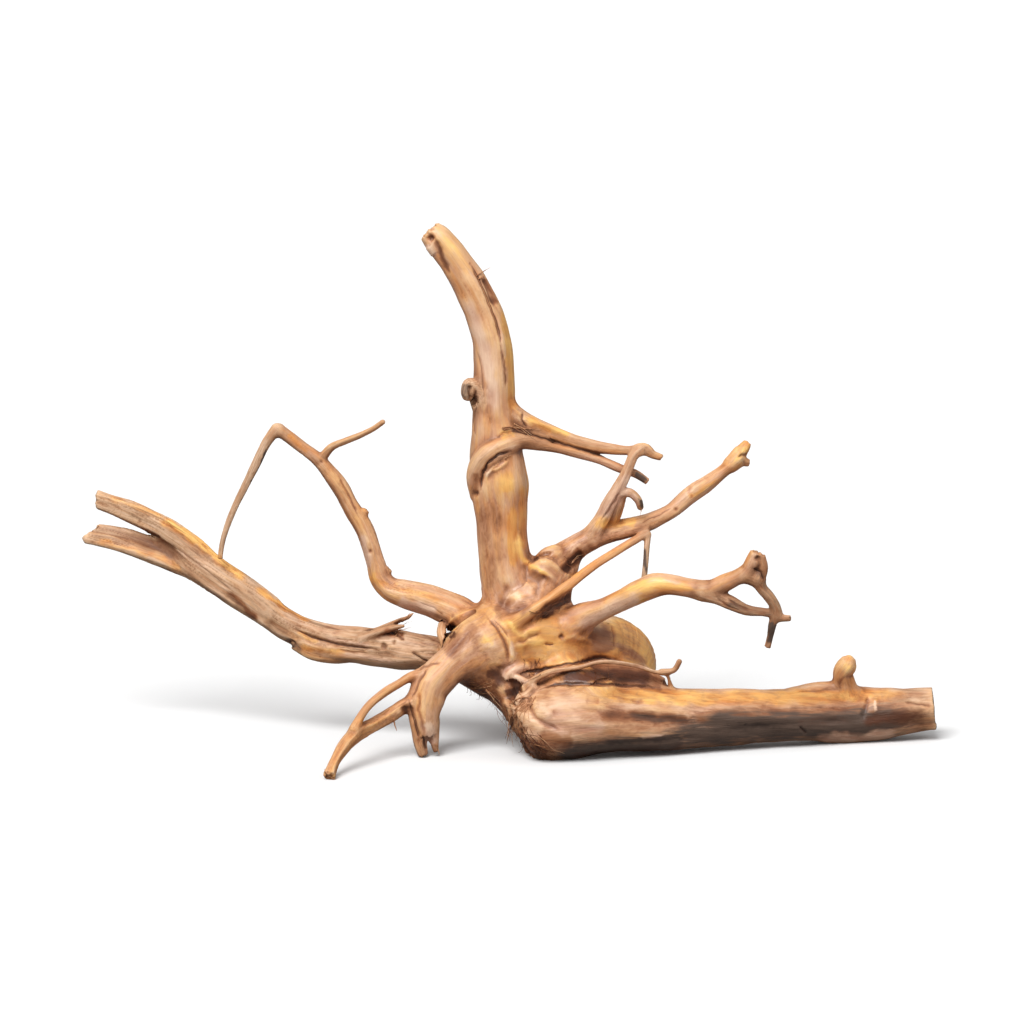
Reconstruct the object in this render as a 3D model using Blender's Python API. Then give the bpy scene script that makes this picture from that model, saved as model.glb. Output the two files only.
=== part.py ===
"""Bogwood root: a dug-out root crown with a sawn log, a split bough and branching roots.

The root grew as one piece, so it is one object. Limbs are tubes with a radius at each
station. They are joined into one skin by a voxel remesh, thinned, and cut flat where
they rest on the ground and where the log was sawn off.

Metres, +Z up. The origin is the middle of the base.
"""

import math

import bpy
from mathutils import Vector

MM = 0.001

# A limb's stations are (across, up, back, radius) in millimetres, as an outline is drawn
# on a board that leans back by BOARD_LEAN: across and up lie on the board, and back is
# how far the station lies behind the crown, level with the ground.
BOARD_LEAN = math.radians(12.0)

# The crown stands this far behind the middle of the base.
CROWN_BACK = 20.0

# Limbs, before they are joined. A round rim has 4 * RIM_STEPS + 4 sides.
PATH_STEPS = 8
RIM_STEPS = 6

# Skin
VOXEL = 2.0
SKIN_TRIANGLES = 8600
SMOOTH_STEPS = 2
SMOOTH_FACTOR = 0.5
# Voxels and smoothing wear the tubes down by this much, which is added beforehand.
WEAR_ALLOWANCE = 0.35

# The ground cut leaves flat resting patches under the root.
GROUND_SIZE = 1200.0

# The saw cut is square to the log's end.
SAW_SIZE = 200.0
SAW_ACROSS = 423.0
SAW_HEIGHT = 40.0
SAW_TILT = math.radians(-5.0)

LIMBS = {
    "crown": [
        (-34, 103, -4, 33), (-6, 106, 2, 40), (24, 110, 6, 43), (52, 103, 12, 37),
        (80, 96, 28, 34)],
    "crown_knob": [(-46, 104, -12, 10), (-57, 112, -12, 8.5), (-68, 108, -4, 8)],
    "trunk": [
        (14, 116, 8, 37), (3, 142, 12, 33), (-5, 166, 14, 29), (-8, 188, 15, 26),
        (-10, 212, 16, 25), (-11, 236, 18, 26), (-13, 262, 20, 29), (-15, 284, 22, 26.5),
        (-16, 312, 25, 24.5), (-18, 340, 28, 21.5), (-18, 372, 31, 20.5), (-20, 402, 34, 19.5),
        (-28, 430, 37, 18.3), (-40, 457, 40, 17), (-54, 480, 43, 15.6),
        (-67, 498, 45, 14.6), (-76, 508, 46, 14), (-82, 514, 47, 11.5)],
    "trunk_knob": [(-30, 346, 22, 12), (-42, 358, 14, 8), (-45, 346, 10, 6)],
    "back_stub": [(-4, 128, 20, 28), (-10, 146, 56, 20), (-14, 160, 84, 17)],
    "collar": [
        (-37, 250, 6, 5), (-35, 268, 3, 8), (-27, 283, -2, 9), (-14, 292, -2, 9),
        (0, 297, 5, 8), (18, 301, 15, 6.5), (38, 298, 20, 5.5), (62, 293, 21, 4.8),
        (88, 285, 20, 4.4), (110, 276, 18, 4.6), (124, 271, 18, 4.2), (136, 263, 18, 3.6)],
    "branch_web": [(2, 310, 16, 9), (20, 309, 19, 6), (34, 307, 21, 4)],
    "high_branch": [
        (-8, 336, 26, 12), (8, 327, 25, 9.6), (28, 318, 24, 8), (48, 309, 23, 6.8),
        (72, 301, 21, 6.3), (98, 296, 19, 6), (118, 294, 18, 5), (133, 295, 17, 6.8),
        (141, 290, 16, 4.6), (150, 287, 16, 3.6)],
    "right_branch": [
        (28, 150, 12, 32), (46, 178, 14, 22), (62, 196, 16, 13.5), (80, 206, 19, 12),
        (98, 213, 22, 11), (118, 217, 26, 10), (138, 223, 31, 9), (158, 233, 37, 8.2),
        (178, 249, 44, 9), (198, 263, 52, 8), (218, 279, 61, 7), (229, 290, 66, 8.6),
        (236, 297, 69, 10)],
    "shoulder_knob": [(26, 170, 8, 14), (34, 188, 5, 10.5), (44, 192, 6, 8.6)],
    "crossing_stick": [
        (78, 208, 16, 9), (90, 225, 13, 7.6), (97, 240, 10, 7), (105, 254, 8, 6.2),
        (112, 267, 7, 5.6), (117, 279, 8, 5.4), (122, 290, 11, 5), (130, 297, 15, 5.5)],
    "crossing_strand": [(100, 219, 22, 6), (105, 236, 15, 5.8), (111, 253, 10, 4.4)],
    "curved_twig": [(109, 253, 9, 4.6), (118, 252, 9, 4.4), (126, 245, 10, 4), (129, 236, 12, 3.2)],
    "thin_stick": [
        (0, 124, -34, 10), (20, 133, -37, 7.5), (38, 146, -35, 6), (58, 160, -28, 5),
        (80, 178, -16, 4.4), (102, 192, -3, 4.2), (120, 203, 8, 4), (136, 212, 20, 3.8)],
    "hanging_twig": [(136, 210, 19, 3.4), (135, 198, 13, 3), (134, 184, 8, 2.8), (132, 164, 2, 3)],
    "low_branch": [
        (30, 104, -4, 28), (52, 116, -10, 21), (72, 128, -17, 15), (90, 136, -24, 11),
        (110, 145, -31, 11.2), (128, 154, -37, 12), (142, 159, -41, 12.3),
        (158, 160, -45, 10.6), (175, 157, -49, 9.7), (198, 155, -54, 10.2),
        (212, 162, -58, 8.6), (224, 168, -62, 7.6), (235, 176, -65, 7.4),
        (242, 185, -67, 8), (245, 192, -68, 7)],
    "low_branch_lump": [(246, 184, -66, 6.5), (250, 172, -66, 6.5)],
    "low_branch_outer": [
        (232, 170, -64, 7), (243, 165, -65, 7), (250, 155, -65, 6), (257, 147, -64, 5.6),
        (263, 138, -62, 5.2), (265, 130, -60, 4.6)],
    "low_branch_inner": [
        (192, 153, -54, 9), (206, 147, -58, 7.4), (220, 141, -60, 6.8), (234, 135, -61, 5.4),
        (250, 133, -61, 4.4), (263, 131, -60, 4.4)],
    "low_branch_tip": [
        (264, 133, -60, 4.6), (260, 121, -60, 4.1), (258, 110, -58, 3.4), (255, 98, -56, 3.6)],
    "low_branch_spur": [(262, 127, -60, 4), (278, 127, -63, 3)],
    "bough": [
        (-30, 96, 4, 22), (-57, 91, 14, 17), (-84, 92, 21, 17), (-112, 95, 27, 19.5),
        (-151, 99, 34, 18.5), (-188, 104, 41, 18), (-225, 119, 49, 15.5),
        (-263, 146, 58, 16.5), (-290, 163, 64, 14)],
    "bough_upper_ridge": [
        (-246, 136, 54, 13), (-268, 154, 59, 13), (-298, 178, 66, 12.5), (-328, 202, 73, 14),
        (-352, 218, 79, 12.6), (-388, 235, 87, 11), (-415, 245, 95, 9.6)],
    "bough_lower_ridge": [
        (-246, 131, 54, 13), (-268, 143, 59, 13), (-304, 166, 68, 12.5), (-340, 185, 76, 14.6),
        (-362, 193, 81, 14.6), (-394, 204, 88, 13.4), (-424, 213, 96, 11.4)],
    "bough_splinter": [(-142, 112, 30, 7), (-122, 120, 25, 4), (-100, 127, 18, 2.8)],
    "crooked_branch": [
        (-22, 112, 4, 24), (-42, 124, 13, 18.5), (-56, 133, 19, 17.5), (-72, 140, 25, 16),
        (-90, 146, 31, 15), (-108, 151, 36, 14), (-122, 156, 40, 12), (-132, 167, 43, 10.4),
        (-137, 183, 45, 9.5), (-142, 200, 47, 9), (-151, 221, 50, 9), (-161, 238, 53, 8.6),
        (-172, 257, 56, 8.4), (-182, 271, 58, 7.4), (-194, 285, 60, 6.6), (-212, 299, 62, 6),
        (-228, 311, 63, 6), (-236, 316, 63, 6.6)],
    "crooked_twig": [
        (-190, 288, 60, 4.4), (-181, 298, 56, 3.9), (-167, 304, 51, 3.4), (-150, 311, 44, 3),
        (-138, 317, 39, 2.8), (-128, 324, 35, 2.6)],
    "elbow_twig": [
        (-236, 316, 63, 6), (-243, 307, 62, 5), (-257, 280, 59, 4.4), (-267, 260, 57, 3.8),
        (-278, 238, 54, 3.4), (-286, 218, 51, 3), (-291, 200, 48, 2.6), (-293, 186, 46, 2.6)],
    "front_leg": [
        (-18, 103, -14, 30), (-36, 97, -25, 24), (-52, 87, -33, 19.5), (-68, 74, -40, 18.5),
        (-82, 58, -46, 18.5), (-87, 43, -50, 18), (-89, 30, -53, 16), (-87, 18, -55, 13),
        (-85, 5, -57, 10.6), (-84, -12, -58, 8.5)],
    "front_leg_thin_root": [
        (-88, 70, -44, 7), (-102, 68, -50, 5), (-114, 61, -58, 4.3), (-127, 53, -68, 4.2),
        (-140, 43, -80, 4.2), (-150, 30, -94, 4.2), (-158, 16, -107, 4.6)],
    "front_leg_thick_root": [
        (-90, 46, -52, 10), (-106, 40, -57, 8), (-122, 30, -66, 7), (-138, 21, -80, 7.2),
        (-153, 13, -100, 8), (-167, -1, -122, 7), (-176, -16, -142, 5.6), (-181, -29, -160, 7)],
    "neck": [(-24, 90, -6, 40), (-4, 67, -18, 31), (14, 42, -42, 24), (30, 28, -56, 28)],
    "log": [
        (-4, 27, -60, 9), (0, 26, -60, 20), (8, 24.5, -60, 28), (18, 23, -60, 33),
        (33, 22.5, -60, 36.5), (50, 23.5, -59, 38), (70, 25, -56, 36.8), (90, 25.5, -51, 34),
        (138, 25, -38, 32.3), (188, 26, -25, 28.6), (238, 28, -12, 26.6), (288, 29.2, 0, 24.8),
        (338, 29.3, 17, 27), (372, 31, 21, 25), (400, 34, 24, 22), (440, 38, 28, 21)],
    "log_root": [(40, 84, -8, 26), (56, 62, -34, 26), (76, 44, -48, 30)],
    "log_stub": [
        (328, 48, 12, 12), (331, 62, 8, 8), (331, 71, 6, 8.6), (338, 79, 4, 9), (342, 85, 4, 6)],
    "log_lump": [(286, 48, 2, 10), (298, 53, 4, 9), (312, 54, 6, 9), (326, 53, 8, 8)],
    "strip": [
        (14, 60, -54, 6), (21, 66, -58, 4.6), (34, 72, -58, 4), (50, 76, -57, 4),
        (68, 79, -55, 4), (88, 84, -53, 4), (108, 83, -50, 4), (128, 79, -46, 4),
        (143, 74, -43, 3.6), (154, 72, -41, 3.4), (159, 62, -37, 3), (163, 50, -34, 3)],
    "strip_hook": [(150, 73, -42, 3.2), (162, 75, -42, 2.8), (168, 85, -43, 2.6)],
    "strip_web": [(110, 58, -26, 15), (132, 60, -28, 12), (149, 60, -30, 8.5)],
    "bulb": [(60, 90, 26, 38), (84, 84, 40, 44), (97, 79, 46, 47), (104, 60, 48, 43)],
    "rear_foot": [(92, 70, 60, 36), (88, 54, 80, 27), (84, 41, 97, 21), (82, 30, 107, 19)],
}

WOOD = ("bogwood", (0.52, 0.27, 0.12, 1.0), 0.48)


def clear_scene():
    for item in list(bpy.data.objects):
        bpy.data.objects.remove(item, do_unlink=True)


def wood_material():
    name, colour, roughness = WOOD
    material = bpy.data.materials.new(name)
    material.use_nodes = True
    shader = material.node_tree.nodes["Principled BSDF"]
    shader.inputs["Base Color"].default_value = colour
    shader.inputs["Roughness"].default_value = roughness
    shader.inputs["Metallic"].default_value = 0.0
    return material


def stand_up(across, up, back):
    """The board's across, up and back, turned into the root's own position in metres."""
    height = (up - math.sin(BOARD_LEAN) * back) / math.cos(BOARD_LEAN)
    return Vector((across, back + CROWN_BACK, height)) * MM


def add_limb(curve, stations):
    """One limb: a smooth tube through its stations, closed at both ends."""
    spline = curve.splines.new("BEZIER")
    spline.bezier_points.add(len(stations) - 1)
    spline.resolution_u = PATH_STEPS
    spline.radius_interpolation = "CARDINAL"
    for point, (across, up, back, radius) in zip(spline.bezier_points, stations):
        point.co = stand_up(across, up, back)
        point.handle_left_type = "AUTO"
        point.handle_right_type = "AUTO"
        point.radius = radius + WEAR_ALLOWANCE


def limb_tubes():
    """All the limbs as overlapping closed tubes in one mesh."""
    curve = bpy.data.curves.new("limb_paths", "CURVE")
    curve.dimensions = "3D"
    curve.bevel_depth = MM
    curve.bevel_resolution = RIM_STEPS
    curve.use_fill_caps = True
    for stations in LIMBS.values():
        add_limb(curve, stations)
    paths = bpy.data.objects.new("limb_paths", curve)
    bpy.context.collection.objects.link(paths)
    bpy.context.view_layer.update()
    evaluated = paths.evaluated_get(bpy.context.evaluated_depsgraph_get())
    mesh = bpy.data.meshes.new_from_object(evaluated)
    bpy.data.objects.remove(paths, do_unlink=True)
    return mesh


def triangle_count(root):
    bpy.context.view_layer.update()
    evaluated = root.evaluated_get(bpy.context.evaluated_depsgraph_get())
    mesh = evaluated.to_mesh()
    mesh.calc_loop_triangles()
    count = len(mesh.loop_triangles)
    evaluated.to_mesh_clear()
    return count


def grow_together(root):
    """Joins the tubes into one skin, softens the forks between them and thins the skin out."""
    skin = root.modifiers.new("grown_together", "REMESH")
    skin.mode = "VOXEL"
    skin.voxel_size = VOXEL * MM
    skin.use_smooth_shade = True

    forks = root.modifiers.new("soft_forks", "SMOOTH")
    forks.factor = SMOOTH_FACTOR
    forks.iterations = SMOOTH_STEPS

    full = triangle_count(root)
    thin_out = root.modifiers.new("thin_out", "DECIMATE")
    thin_out.ratio = SKIN_TRIANGLES / full
    thin_out.use_collapse_triangulate = True


def cutter_box(name, size, centre, tilt=0.0):
    """A cube that only cuts, hidden from the finished model. Sizes are in millimetres."""
    half = size * MM / 2
    corners = [(x, y, z) for x in (-half, half) for y in (-half, half) for z in (-half, half)]
    faces = [(0, 1, 3, 2), (4, 6, 7, 5), (0, 4, 5, 1), (2, 3, 7, 6), (0, 2, 6, 4), (1, 5, 7, 3)]
    mesh = bpy.data.meshes.new(name)
    mesh.from_pydata(corners, [], faces)
    box = bpy.data.objects.new(name, mesh)
    box.location = Vector(centre) * MM
    box.rotation_euler = (0.0, tilt, 0.0)
    box.hide_render = True
    box.display_type = "WIRE"
    bpy.context.collection.objects.link(box)
    return box


def cut_away(root, cutter):
    cut = root.modifiers.new("cut_" + cutter.name, "BOOLEAN")
    cut.operation = "DIFFERENCE"
    cut.solver = "EXACT"
    cut.object = cutter


def build_root():
    mesh = limb_tubes()
    mesh.materials.clear()
    mesh.materials.append(wood_material())
    root = bpy.data.objects.new("bogwood_root", mesh)
    bpy.context.collection.objects.link(root)
    grow_together(root)

    below_ground = (0.0, 0.0, -GROUND_SIZE / 2)
    cut_away(root, cutter_box("ground", GROUND_SIZE, below_ground))
    beyond_saw = (SAW_ACROSS + SAW_SIZE / 2, CROWN_BACK, SAW_HEIGHT)
    cut_away(root, cutter_box("saw", SAW_SIZE, beyond_saw, SAW_TILT))


clear_scene()
build_root()
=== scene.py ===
"""Bogwood root: the finished look of a dug-out root crown, laid out as a Blender add-on.

The skin repeats the part's own limbs, flows them into each other, and carves the cracks,
grooves and flakes into it. Its finish comes from shader nodes that follow the grain.
Lengths in this file are millimetres unless a name says otherwise; the scene is in metres.
"""

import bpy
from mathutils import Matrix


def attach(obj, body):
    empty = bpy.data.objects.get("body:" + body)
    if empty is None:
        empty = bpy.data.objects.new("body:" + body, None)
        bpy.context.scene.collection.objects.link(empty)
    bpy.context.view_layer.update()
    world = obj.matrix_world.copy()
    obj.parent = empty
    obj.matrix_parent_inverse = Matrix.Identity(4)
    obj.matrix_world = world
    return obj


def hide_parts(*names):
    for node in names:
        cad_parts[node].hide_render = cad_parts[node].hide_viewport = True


bl_info = {
    "name": "Bogwood root",
    "version": (1, 0, 0),
    "blender": (4, 5, 0),
    "location": "View3D > Sidebar > Bogwood",
    "description": "Builds the skin, hair roots and loose fibres of a bogwood root on a small stage",
    "category": "Add Mesh",
}

import math

import bpy
import numpy as np
from mathutils import Vector
from mathutils.bvhtree import BVHTree

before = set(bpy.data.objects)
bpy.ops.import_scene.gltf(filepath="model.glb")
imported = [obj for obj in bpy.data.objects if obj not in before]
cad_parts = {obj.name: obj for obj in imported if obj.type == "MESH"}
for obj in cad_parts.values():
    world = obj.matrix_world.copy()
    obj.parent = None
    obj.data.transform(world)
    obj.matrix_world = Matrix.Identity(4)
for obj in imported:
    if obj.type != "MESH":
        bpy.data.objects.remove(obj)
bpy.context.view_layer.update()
NODE = "bogwood_root"
BODY = "root"

MM = 0.001
# The board leans back as far as the camera looks down. The crown's middle lies behind it.
BOARD_LEAN = math.radians(12.0)
CROWN_BACK = 20.0
TOWARD_VIEWER = np.array((0.0, -math.cos(BOARD_LEAN), math.sin(BOARD_LEAN)))
# The log's sawn end: where the saw went through and how far the cut leans.
SAW_ACROSS = 423.0
SAW_HEIGHT = 40.0
SAW_TILT = math.radians(-5.0)

# Each limb: how its far end looks, the width of its fillet where it joins the rest, how lobed
# its cross-section is, how deep its long grooves are, and its stations. A station is (across,
# up, back, radius), drawn on the same leaning board as in the part's own source.
LIMBS = {
    "crown": ("buried", 20, 0.05, 0.6, [(-34, 103, -4, 33), (-6, 106, 2, 40), (24, 110, 6, 43),
        (52, 103, 12, 37), (80, 96, 28, 34)]),
    "trunk": ("torn", 18, 0.07, 1, [(16, 116, 8, 36), (6, 142, 12, 31), (-4, 166, 14, 28),
        (-8, 188, 15, 26), (-10, 212, 16, 25), (-11, 236, 18, 26), (-13, 262, 20, 29), (-15, 284, 22, 26.5),
        (-16, 312, 25, 24.5), (-18, 340, 28, 21.5), (-18, 372, 31, 20.5), (-20, 402, 34, 19.5),
        (-28, 430, 37, 18.3), (-40, 457, 40, 17), (-54, 480, 43, 15.6), (-67, 498, 45, 14.6),
        (-76, 508, 46, 14), (-82, 514, 47, 11.5)]),
    "neck": ("buried", 16, 0.04, 0.5, [(-24, 90, -6, 40), (-4, 67, -18, 31), (14, 42, -42, 24),
        (30, 28, -56, 28)]),
    "bulb": ("buried", 16, 0.03, 0.6, [(60, 90, 26, 38), (84, 84, 40, 44), (97, 79, 46, 47),
        (104, 60, 48, 43)]),
    "log": ("torn", 14, 0.06, 0.8, [(-4, 27, -60, 9), (0, 26, -60, 20), (8, 24.5, -60, 28),
        (18, 23, -60, 33), (33, 22.5, -60, 36.5), (50, 23.5, -59, 38), (70, 25, -56, 36.8),
        (90, 25.5, -51, 34), (138, 25, -38, 32.3), (188, 26, -25, 28.6), (238, 28, -12, 26.6),
        (288, 29.2, 0, 24.8), (338, 29.3, 17, 27), (372, 31, 21, 25), (400, 34, 24, 22),
        (440, 38, 28, 21)]),
    "log_root": ("buried", 12, 0.04, 0.6, [(40, 84, -8, 26), (56, 62, -34, 26), (76, 44, -48, 30)]),
    "rear_foot": ("buried", 16, 0.06, 0.7, [(92, 70, 60, 36), (88, 54, 80, 27), (84, 41, 97, 21),
        (82, 30, 107, 19)]),
    "back_stub": ("torn", 14, 0.07, 0.8, [(-4, 128, 20, 28), (-10, 146, 56, 20), (-14, 160, 84, 17)]),
    "bough": ("buried", 14, 0.06, 1.2, [(-30, 96, 4, 22), (-57, 91, 14, 17), (-84, 92, 21, 17),
        (-112, 95, 27, 19.5), (-151, 99, 34, 18.5), (-188, 104, 41, 18), (-225, 119, 49, 15.5),
        (-263, 146, 58, 16.5), (-290, 162, 62, 16.5), (-316, 179, 71, 14.5), (-338, 195, 80, 11),
        (-354, 205, 85, 6)]),
    "bough_upper_ridge": ("torn", 5, 0.1, 1.3, [(-246, 136, 54, 13), (-268, 154, 59, 13),
        (-298, 178, 66, 12.5), (-328, 202, 73, 14), (-352, 218, 79, 12.8), (-388, 235, 87, 11.4),
        (-418, 246, 95, 9.8)]),
    "bough_lower_ridge": ("torn", 5, 0.1, 1.3, [(-246, 131, 54, 13), (-268, 143, 59, 13),
        (-304, 166, 68, 12.5), (-340, 185, 76, 14.6), (-362, 193, 81, 14.6), (-394, 204, 88, 13.4),
        (-427, 211, 96, 11.4)]),
    "front_leg": ("torn", 14, 0.06, 0.9, [(-18, 103, -14, 30), (-36, 97, -25, 24), (-52, 87, -33, 19.5),
        (-68, 74, -40, 18.5), (-82, 58, -46, 18.5), (-87, 43, -50, 18), (-88, 30, -53, 15.5),
        (-87, 18, -55, 13), (-86, 9, -56, 10)]),
    "foot_prong": ("torn", 5, 0.09, 0.8, [(-90, 22, -54, 9), (-92, 6, -56, 7), (-89, -11, -58, 5)]),
    "foot_splinter": ("torn", 4, 0.08, 0.6, [(-82, 22, -52, 9), (-78, 6, -55, 5.4), (-76, -7, -56, 2.6)]),
    "low_branch": ("torn", 12, 0.06, 0.8, [(30, 104, -4, 28), (52, 116, -10, 21), (72, 128, -17, 15),
        (90, 136, -24, 11), (110, 145, -31, 11.2), (128, 154, -37, 12), (142, 159, -41, 12.3),
        (158, 160, -45, 10.6), (175, 157, -49, 9.7), (198, 155, -54, 10.2), (212, 162, -58, 8.6),
        (224, 168, -62, 7.6), (235, 176, -65, 7.2), (240, 185, -67, 7.4), (243, 193, -68, 6)]),
    "right_branch": ("torn", 12, 0.06, 0.8, [(28, 150, 12, 32), (46, 178, 14, 22), (62, 196, 16, 13.5),
        (80, 206, 19, 12), (98, 213, 22, 11), (118, 217, 26, 10), (138, 223, 31, 9), (158, 233, 37, 8.2),
        (178, 249, 44, 9), (198, 263, 52, 8), (218, 279, 61, 7), (227, 288, 65, 8.4)]),
    "branch_lip_high": ("torn", 4, 0.06, 0.5, [(220, 282, 62, 7), (231, 295, 66, 6.4), (237, 303, 68, 4)]),
    "branch_lip_low": ("torn", 4, 0.06, 0.5, [(220, 280, 63, 7), (230, 284, 67, 6), (238, 282, 69, 3.6)]),
    "crooked_branch": ("round", 6, 0.07, 0.9, [(-22, 112, 4, 21), (-42, 123, 13, 18), (-56, 133, 19, 17.5),
        (-72, 140, 25, 16), (-90, 146, 31, 15), (-108, 151, 36, 14), (-122, 156, 40, 12),
        (-132, 167, 43, 10.4), (-137, 183, 45, 9.5), (-142, 200, 47, 9), (-151, 221, 50, 9),
        (-161, 238, 53, 8.6), (-172, 257, 56, 8.4), (-182, 271, 58, 7.4), (-194, 285, 60, 6.6),
        (-212, 299, 62, 6), (-228, 311, 63, 6), (-236, 316, 63, 6.6)]),
    "crown_strand": ("buried", 3, 0.05, 0.4, [(-70, 120, 8, 4.4), (-71, 112, -2, 4.4), (-68, 101, -9, 4.2),
        (-63, 88, -14, 5)]),
    "crooked_knot": ("torn", 3, 0.08, 0.5, [(-152, 228, 50, 5), (-146, 235, 50, 3.6)]),
    "crooked_spur": ("torn", 3, 0.08, 0.5, [(-130, 168, 44, 5), (-122, 175, 42, 2.6)]),
    "hub_curl": ("buried", 4, 0.05, 0.4, [(-4, 64, -41, 5), (-2, 70, -43, 6.4), (4, 75, -42, 5.6),
        (12, 78, -38, 4.4)]),
    "butt_strand": ("buried", 2.5, 0.06, 0.4, [(-1, 70, -45, 2.6), (8, 67, -50, 2.8), (17, 62, -58, 3),
        (22, 58, -62, 3.4)]),
    "butt_drip": ("torn", 2.5, 0.08, 0.4, [(21, 57, -62, 3.4), (14, 51, -68, 3), (8, 47, -68, 2.8),
        (7, 40, -72, 2)]),
    "shoulder_web": ("buried", 6, 0.05, 0.5, [(8, 146, -7, 16), (24, 150, -4, 15.5), (40, 152, 2, 13)]),
    "shoulder_lobe": ("round", 4, 0.05, 0.4, [(24, 168, 0, 10), (33, 178, -5, 10), (43, 171, -4, 9)]),
    "bough_bark": ("torn", 2.5, 0.1, 0.9, [(-150, 90, 32, 8), (-176, 92, 34, 11), (-202, 97, 38, 11.5),
        (-218, 104, 42, 9)]),
    "trunk_knob": ("round", 7, 0.06, 0.5, [(-30, 346, 22, 12), (-42, 358, 14, 8), (-45, 346, 10, 6)]),
    "collar": ("torn", 4, 0.05, 0.6, [(-38, 249, 14, 3.5), (-37, 262, 11, 8), (-32, 279, 6, 11),
        (-22, 291, 3, 11.5), (-8, 299, 4, 10), (8, 303, 14, 8), (32, 300, 20, 6), (62, 293, 21, 5),
        (88, 285, 20, 4.4), (110, 276, 18, 4.6), (124, 271, 18, 4.2), (136, 263, 18, 3.6)]),
    "branch_web": ("buried", 6, 0.05, 0.6, [(2, 310, 16, 9), (20, 309, 19, 6), (34, 307, 21, 4)]),
    "high_branch": ("torn", 6, 0.07, 0.7, [(-8, 336, 26, 12), (8, 327, 25, 9.6), (28, 318, 24, 8),
        (48, 309, 23, 6.8), (72, 301, 21, 6.3), (98, 296, 19, 6), (118, 294, 18, 5), (133, 295, 17, 6.8),
        (141, 290, 16, 4.6), (150, 287, 16, 3.6)]),
    "shoulder_knob": ("round", 5, 0.05, 0.5, [(28, 176, 8, 11), (35, 189, 4, 8.4), (47, 192, 6, 9.4)]),
    "crossing_stick": ("round", 4, 0.07, 0.5, [(78, 208, 16, 9), (90, 225, 13, 7.6), (97, 240, 10, 7),
        (105, 254, 8, 6.2), (112, 267, 7, 5.6), (117, 279, 8, 5.4), (122, 290, 11, 5),
        (130, 297, 15, 5.5)]),
    "crossing_strand": ("buried", 2, 0.06, 0.4, [(100, 219, 22, 6), (105, 236, 15, 5.8),
        (111, 253, 10, 4.4)]),
    "curved_twig": ("round", 3, 0.06, 0.3, [(109, 253, 9, 4.6), (118, 252, 9, 4.4), (126, 245, 10, 4),
        (129, 236, 12, 3.2)]),
    "thin_stick": ("round", 6, 0.05, 0.4, [(-16, 108, -22, 7), (-4, 118, -30, 7), (13, 129, -36, 6.2),
        (25, 137, -37, 5.6), (39, 147, -34, 5.2), (58, 161, -27, 4.8), (80, 178, -16, 4.4),
        (102, 192, -3, 4.2), (120, 203, 8, 4), (136, 212, 20, 3.8)]),
    "hanging_twig": ("torn", 3, 0.05, 0.3, [(136, 210, 19, 3.4), (135, 198, 13, 3), (134, 184, 8, 2.8),
        (132, 164, 2, 3)]),
    "low_branch_lump": ("torn", 3, 0.08, 0.6, [(247, 168, -66, 6.5), (250, 177, -67, 5.6),
        (249, 190, -68, 3.6)]),
    "low_branch_outer": ("buried", 5, 0.08, 0.6, [(232, 170, -64, 7), (243, 165, -65, 7),
        (250, 155, -65, 6), (257, 147, -64, 5.6), (263, 138, -62, 5.2), (265, 130, -60, 4.6)]),
    "low_branch_inner": ("buried", 5, 0.09, 0.8, [(192, 153, -54, 9), (206, 147, -58, 7.4),
        (220, 141, -60, 6.8), (234, 135, -61, 5.4), (250, 133, -61, 4.4), (263, 131, -60, 4.4)]),
    "low_branch_tip": ("torn", 3, 0.08, 0.4, [(264, 133, -60, 4.6), (260, 121, -60, 4.1),
        (258, 110, -58, 3.4), (255, 98, -56, 3.6)]),
    "low_branch_spur": ("torn", 3, 0.05, 0.3, [(262, 127, -60, 4), (278, 127, -63, 3)]),
    "bough_splinter": ("torn", 4, 0.06, 0.5, [(-160, 104, 30, 7), (-140, 113, 26, 4.6),
        (-126, 119, 24, 3.6), (-112, 125, 21, 3.2), (-104, 128, 19, 2.4), (-99, 132, 17, 1.2)]),
    "bough_splinter_low": ("torn", 2, 0.06, 0.5, [(-150, 106, 24, 6), (-132, 113, 20, 4),
        (-118, 117, 17, 3), (-108, 119, 15, 1.6)]),
    "crooked_twig": ("round", 3, 0.06, 0.3, [(-190, 288, 60, 4.4), (-181, 298, 56, 3.9),
        (-167, 304, 51, 3.4), (-150, 311, 44, 3), (-138, 317, 39, 2.8), (-128, 324, 35, 2.6)]),
    "elbow_twig": ("torn", 4, 0.05, 0.3, [(-236, 316, 63, 6), (-243, 307, 62, 5), (-257, 280, 59, 4.4),
        (-267, 260, 57, 3.8), (-278, 238, 54, 3.4), (-286, 218, 51, 3), (-291, 200, 48, 2.6),
        (-293, 186, 46, 2.6)]),
    "front_leg_thin_root": ("round", 5, 0.06, 0.4, [(-88, 70, -44, 7), (-102, 68, -50, 5),
        (-114, 61, -58, 4.3), (-127, 53, -68, 4.2), (-140, 43, -80, 4.2), (-150, 30, -94, 4.2),
        (-158, 16, -107, 4.6)]),
    "front_leg_thick_root": ("torn", 6, 0.08, 0.7, [(-90, 46, -52, 10), (-106, 40, -57, 8),
        (-122, 30, -66, 7), (-138, 21, -80, 7.2), (-153, 13, -100, 8), (-167, -1, -122, 7),
        (-176, -16, -142, 5.6), (-181, -29, -160, 7)]),
    "log_stub": ("round", 7, 0.08, 0.6, [(336, 50, 12, 13), (333, 62, 9, 10), (331, 72, 6, 9.6),
        (336, 80, 4, 9.6), (340, 86, 4, 7)]),
    "log_lump": ("buried", 9, 0.06, 0.6, [(286, 48, 2, 10), (298, 53, 4, 9), (312, 54, 6, 9),
        (326, 53, 8, 8)]),
    "strip": ("torn", 3, 0.05, 0.4, [(16, 58, -57, 5), (22, 65, -59, 4), (34, 72, -59, 3.4),
        (50, 76, -58, 3.2), (68, 79, -56, 3.2), (88, 84, -53, 3.2), (108, 83, -50, 3.2),
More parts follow.
